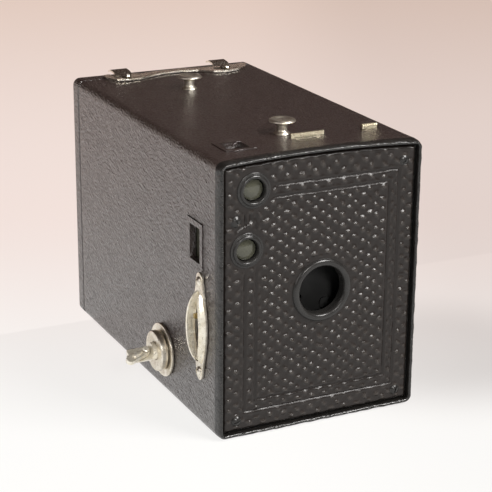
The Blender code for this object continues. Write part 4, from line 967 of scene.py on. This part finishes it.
def make_key():
    """The winding key's fixed flange and its turning drum."""
    plate = middle("key_plate")
    centre = (plate.y, plate.z)
    plate_low, plate_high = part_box("key_plate")
    plate_in, plate_out = LEFT_X - 0.25 * MM, plate_low.x
    radius = (plate_high.y - plate_low.y) / 2
    hole = 5.6 * MM
    flange = [(plate_in, hole), (plate_in, radius), (plate_out, radius),
              (plate_out - 0.05 * MM, radius - 0.9 * MM),
              (plate_out + 0.15 * MM, radius - 1.5 * MM), (plate_out + 0.15 * MM, hole)]
    flange = filleted(flange, 0.22 * MM, 3)
    piece("key_flange", lathe(flange, "X", centre, 128, closed=True), "nickel", "camera_body",
          "key_plate")
    drum_low, drum_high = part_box("key_drum")
    drum_r = (drum_high.y - drum_low.y) / 2
    drum_in = plate_out - GAP
    bore, neck = 3.5 * MM, 5.3 * MM
    drum = [(drum_in, neck), (drum_in, drum_r - 0.25 * MM), (drum_in - 0.6 * MM, drum_r),
            (drum_low.x + 0.35 * MM, drum_r), (drum_low.x, drum_r - 0.35 * MM),
            (drum_low.x, drum_r - 2.4 * MM), (drum_low.x + 0.25 * MM, bore + 0.5 * MM),
            (drum_low.x + 0.3 * MM, bore), (drum_high.x, bore), (drum_high.x, neck)]
    drum = filleted(drum, 0.2 * MM, 4)
    piece("key_boss", lathe(drum, "X", centre, 128, closed=True), "nickel", "key_drum", "key_drum")


PIN_AXIS = Vector((0.0, -0.438, 0.899))  # the way the wing's pin leans
WING_WAY = Vector((-0.921, -0.351, -0.171))  # from the pin along the wing


def make_wing_ridge():
    """Raised ridge along the folding wing, beside its pin."""
    radius, half, out, up = 1.0 * MM, 1.4 * MM, 4.1 * MM, 1.35 * MM
    profile = [(-half - radius * math.cos(a), radius * math.sin(a))
               for a in (math.pi * k / 12 for k in range(7))]
    profile += [(-along, r) for along, r in reversed(profile)]
    verts, faces = lathe(profile, "X", (0, 0), 32)
    turn = Matrix((WING_WAY, PIN_AXIS.cross(WING_WAY), PIN_AXIS)).transposed()
    key = middle("key_plate")
    pivot = Vector((middle("key_pin").x, key.y, key.z))
    placed = [tuple(pivot + turn @ (Vector(v) + Vector((out, 0, up)))) for v in verts]
    piece("wing_ridge", (placed, faces), "bloomed", "key_wing")


# ---- top fittings


def make_studs():
    """Mushroom-headed studs for the strap."""
    for name in ("front", "rear"):
        node = f"strap_stud_{name}"
        low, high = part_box(node)
        at = middle(node)
        r = (high.x - low.x) / 2
        head = [(0.55, 0), (0.5, 0.42), (0.12, 0.66), (0.05, 0.80), (0.45, 0.97), (0.85, 1.0),
                (1.15, 0.95), (1.5, 0.62), (2.0, 0.42)]
        foot = [(1.3, 0.38), (0.7, 0.52), (0.30, 0.60), (0.02, 0.62)]
        pin = 1.3 * MM
        shape = [(high.z - down * MM, r * part) for down, part in head]
        shape += [(TOP_Z + up * MM, r * part) for up, part in foot]
        shape += [(TOP_Z + 0.02 * MM, pin), (low.z, pin), (low.z, 0)]
        shape = filleted(shape, 0.35 * MM, 4, closed=False)
        piece(f"stud_{name}", lathe(shape, "Z", (at.x, at.y), 96), "nickel", "camera_body", node)


# ---- what stays CAD

KEPT = {  # the look that each CAD node gets where it stays visible
    "brass": ["lens_retainer", "tripod_socket_bottom", "tripod_socket_side", "shutter_lever"],
    "slide": ["aperture_slide", "time_slide"],
    "steel": ["shutter_spring", "spool_spring_upper", "spool_spring_lower", "spool_pin_upper",
              "key_circlip", "hinge_body_leaf", "hinge_door_leaf", "hinge_pin", "carrier_spring"],
    "black": ["finder_housing", "shutter_board", "slide_cover", "shutter_disc", "film_carrier",
              "disc_pivot", "lever_pivot"],
    "nickel": ["film_roller_upper", "film_roller_lower", "red_window_ring"],
    "bloomed": ["key_post", "key_pin", "key_wing"],
    "polished": ["latch_bar", "latch_rivet_left", "latch_rivet_right"],
    "glass": ["finder_screen_top", "finder_screen_side", "lens"],
    "mirror": ["finder_mirror_upper", "finder_mirror_lower"],
    "red_glass": ["red_window"],
    "wood": ["takeup_spool"],
    "leather": ["finder_frame_top", "finder_frame_side"],
}


def finish_cad_pieces():
    for look, names in KEPT.items():
        for name in names:
            materials = NODES[name].data.materials
            materials.clear()
            materials.append(LOOKS[look][0])


# ---- floor and light

TABLE_EDGE_Y = 58 * MM  # the table ends behind the camera, so that its door can swing down
LOWER_FLOOR_Z = -110 * MM
FLOOR_REACH = 4.0  # half the floor's width
WALL_HEIGHT = 1.6
FLOOR_GLOW = 0.835
FADE_START = Vector((-0.2524, -0.5227, 0.0))  # the floor's fades are measured from here,
FADE_TURN = math.radians(26.22)  # along this heading, clockwise from +Y
LOWER_STRETCH = 1.447  # and are this much longer on the lower floor
PAINTED_SHADOW_PLACE = (0.075, -0.035, 0.0)  # middle of the painted soft shadow right of the box
CARD_X, CARD_Z = (0.9, 2.5), (0.86, 1.08)  # a pale card far behind, for reflections
LIGHTS_AIM = Vector((0, 0, 0.05))


def pale(name, stretch):
    """Pale floor: white in front, pinkish beige further back, with painted shade at the right and a
    painted soft shadow beside the box.
    """
    g = Graph(name)
    backward = Vector((math.sin(FADE_TURN), math.cos(FADE_TURN), 0))
    rightward = Vector((math.cos(FADE_TURN), -math.sin(FADE_TURN), 0))

    def measure(direction):
        along = g.add("VectorMath", operation="DOT_PRODUCT")
        g.feed(along.inputs[0], g.point)
        along.inputs[1].default_value = direction
        start = direction.dot(FADE_START)
        return g.math("DIVIDE", g.math("ADD", along.outputs["Value"], -start), stretch)

    away, aside = measure(backward), measure(rightward)
    tone = g.mix(g.ramp(away, 0.48, 0.78), (1.0, 0.995, 0.980), (0.965, 0.827, 0.777))
    tone = g.mix(g.ramp(away, 0.70, 1.55), tone, (0.85, 0.664, 0.576))
    # painted shade: the floor darkens to the right of the box, with a painted soft shadow close
    # beside it
    painted_shade_right = g.math("MULTIPLY", g.ramp(aside, -0.02, 0.11),
                 g.total((g.ramp(away, 0.52, 0.57), 0.13), (g.ramp(away, 1.0, 0.62), 0.07)))
    near_box = g.add("VectorMath", operation="DISTANCE")
    g.feed(near_box.inputs[0], g.point)
    near_box.inputs[1].default_value = PAINTED_SHADOW_PLACE
    painted_box_shadow = g.ramp(near_box.outputs["Value"], 0.075, 0.025)
    tone = g.mix(g.total((painted_shade_right, 1.0), (painted_box_shadow, 0.15)), tone, (0.10, 0.06, 0.05))
    g.set(Base_Color=g.mix(0.88, tone, (0, 0, 0)), Roughness=0.9, Specular_IOR_Level=0.1,
          Emission_Color=tone, Emission_Strength=FLOOR_GLOW)
    return g.material


def sheet(name, corners, material):
    """A flat face of the stage."""
    mesh = bpy.data.meshes.new(name)
    mesh.from_pydata(corners, [], [tuple(range(len(corners)))])
    mesh.materials.append(material)
    obj = bpy.data.objects.new(name, mesh)
    bpy.context.scene.collection.objects.link(obj)
    return obj


def level_sheet(name, start_y, end_y, z, material):
    far = FLOOR_REACH
    return sheet(name, [(-far, start_y, z), (far, start_y, z), (far, end_y, z), (-far, end_y, z)],
                 material)


def upright_sheet(name, start, end, z, material):
    """A sheet that stands between two (x, y) points, from one height to another."""
    return sheet(name, [(*start, z[0]), (*end, z[0]), (*end, z[1]), (*start, z[1])], material)


def make_stage():
    """Table, lower floor, pale walls that reflections leave out, and a card that only they show."""
    far, edge, low = FLOOR_REACH, TABLE_EDGE_Y, LOWER_FLOOR_Z
    table, lower = pale("table_top", 1.0), pale("lower_floor", LOWER_STRETCH)
    level_sheet("table", -far, edge, 0, table)
    level_sheet("floor", edge, far, low, lower)
    walls = (((-far, far), (far, far)), ((-far, -far), (far, -far)),
             ((-far, -far), (-far, far)), ((far, -far), (far, far)))
    for side, (start, end) in enumerate(walls):
        wall = upright_sheet(f"wall_{side}", start, end, (low, WALL_HEIGHT), lower)
        wall.visible_glossy = False
    card_y = far - 0.1
    card = upright_sheet("card_behind", (CARD_X[0], card_y), (CARD_X[1], card_y), CARD_Z, lower)
    card.visible_camera = False
    upright_sheet("table_side", (-far, edge), (far, edge), (0, low), lower)


def area_light(name, place, size, power, colour):
    """A rectangle of light that faces the box."""
    data = bpy.data.lights.new(name, "AREA")
    data.shape = "RECTANGLE"
    data.size, data.size_y = size
    data.energy = power
    data.color = colour
    light = bpy.data.objects.new(name, data)
    place = Vector(place)
    turn = (place - LIGHTS_AIM).to_track_quat("Z", "Y").to_matrix().to_4x4()
    light.matrix_world = Matrix.Translation(place) @ turn
    bpy.context.scene.collection.objects.link(light)


def make_light():
    area_light("key", (-0.24, -1.22, 0.66), (0.24, 0.24), 8.0, (1.0, 0.98, 0.95))
    area_light("top_front", (0.52, -0.68, 0.92), (0.50, 0.50), 21.0, (1.0, 0.98, 0.96))
    area_light("overhead", (0.50, 0.36, 1.08), (0.45, 0.45), 0.6, (1.0, 0.98, 0.95))
    area_light("left", (-1.3, -0.35, 0.75), (0.50, 0.9), 3.0, (1.0, 0.95, 0.92))
    world = bpy.data.worlds.new("room")
    world.use_nodes = True
    world.node_tree.nodes["Background"].inputs["Color"].default_value = (0.050, 0.035, 0.031, 1)
    bpy.context.scene.world = world
    bpy.context.scene.view_settings.view_transform = "Standard"


# ---- everything

make_camera()
make_case()
make_door()
make_front_panel()
make_eyelets()
make_screws()
make_guard()
make_key()
make_wing_ridge()
make_studs()
finish_cad_pieces()
make_stage()
make_light()
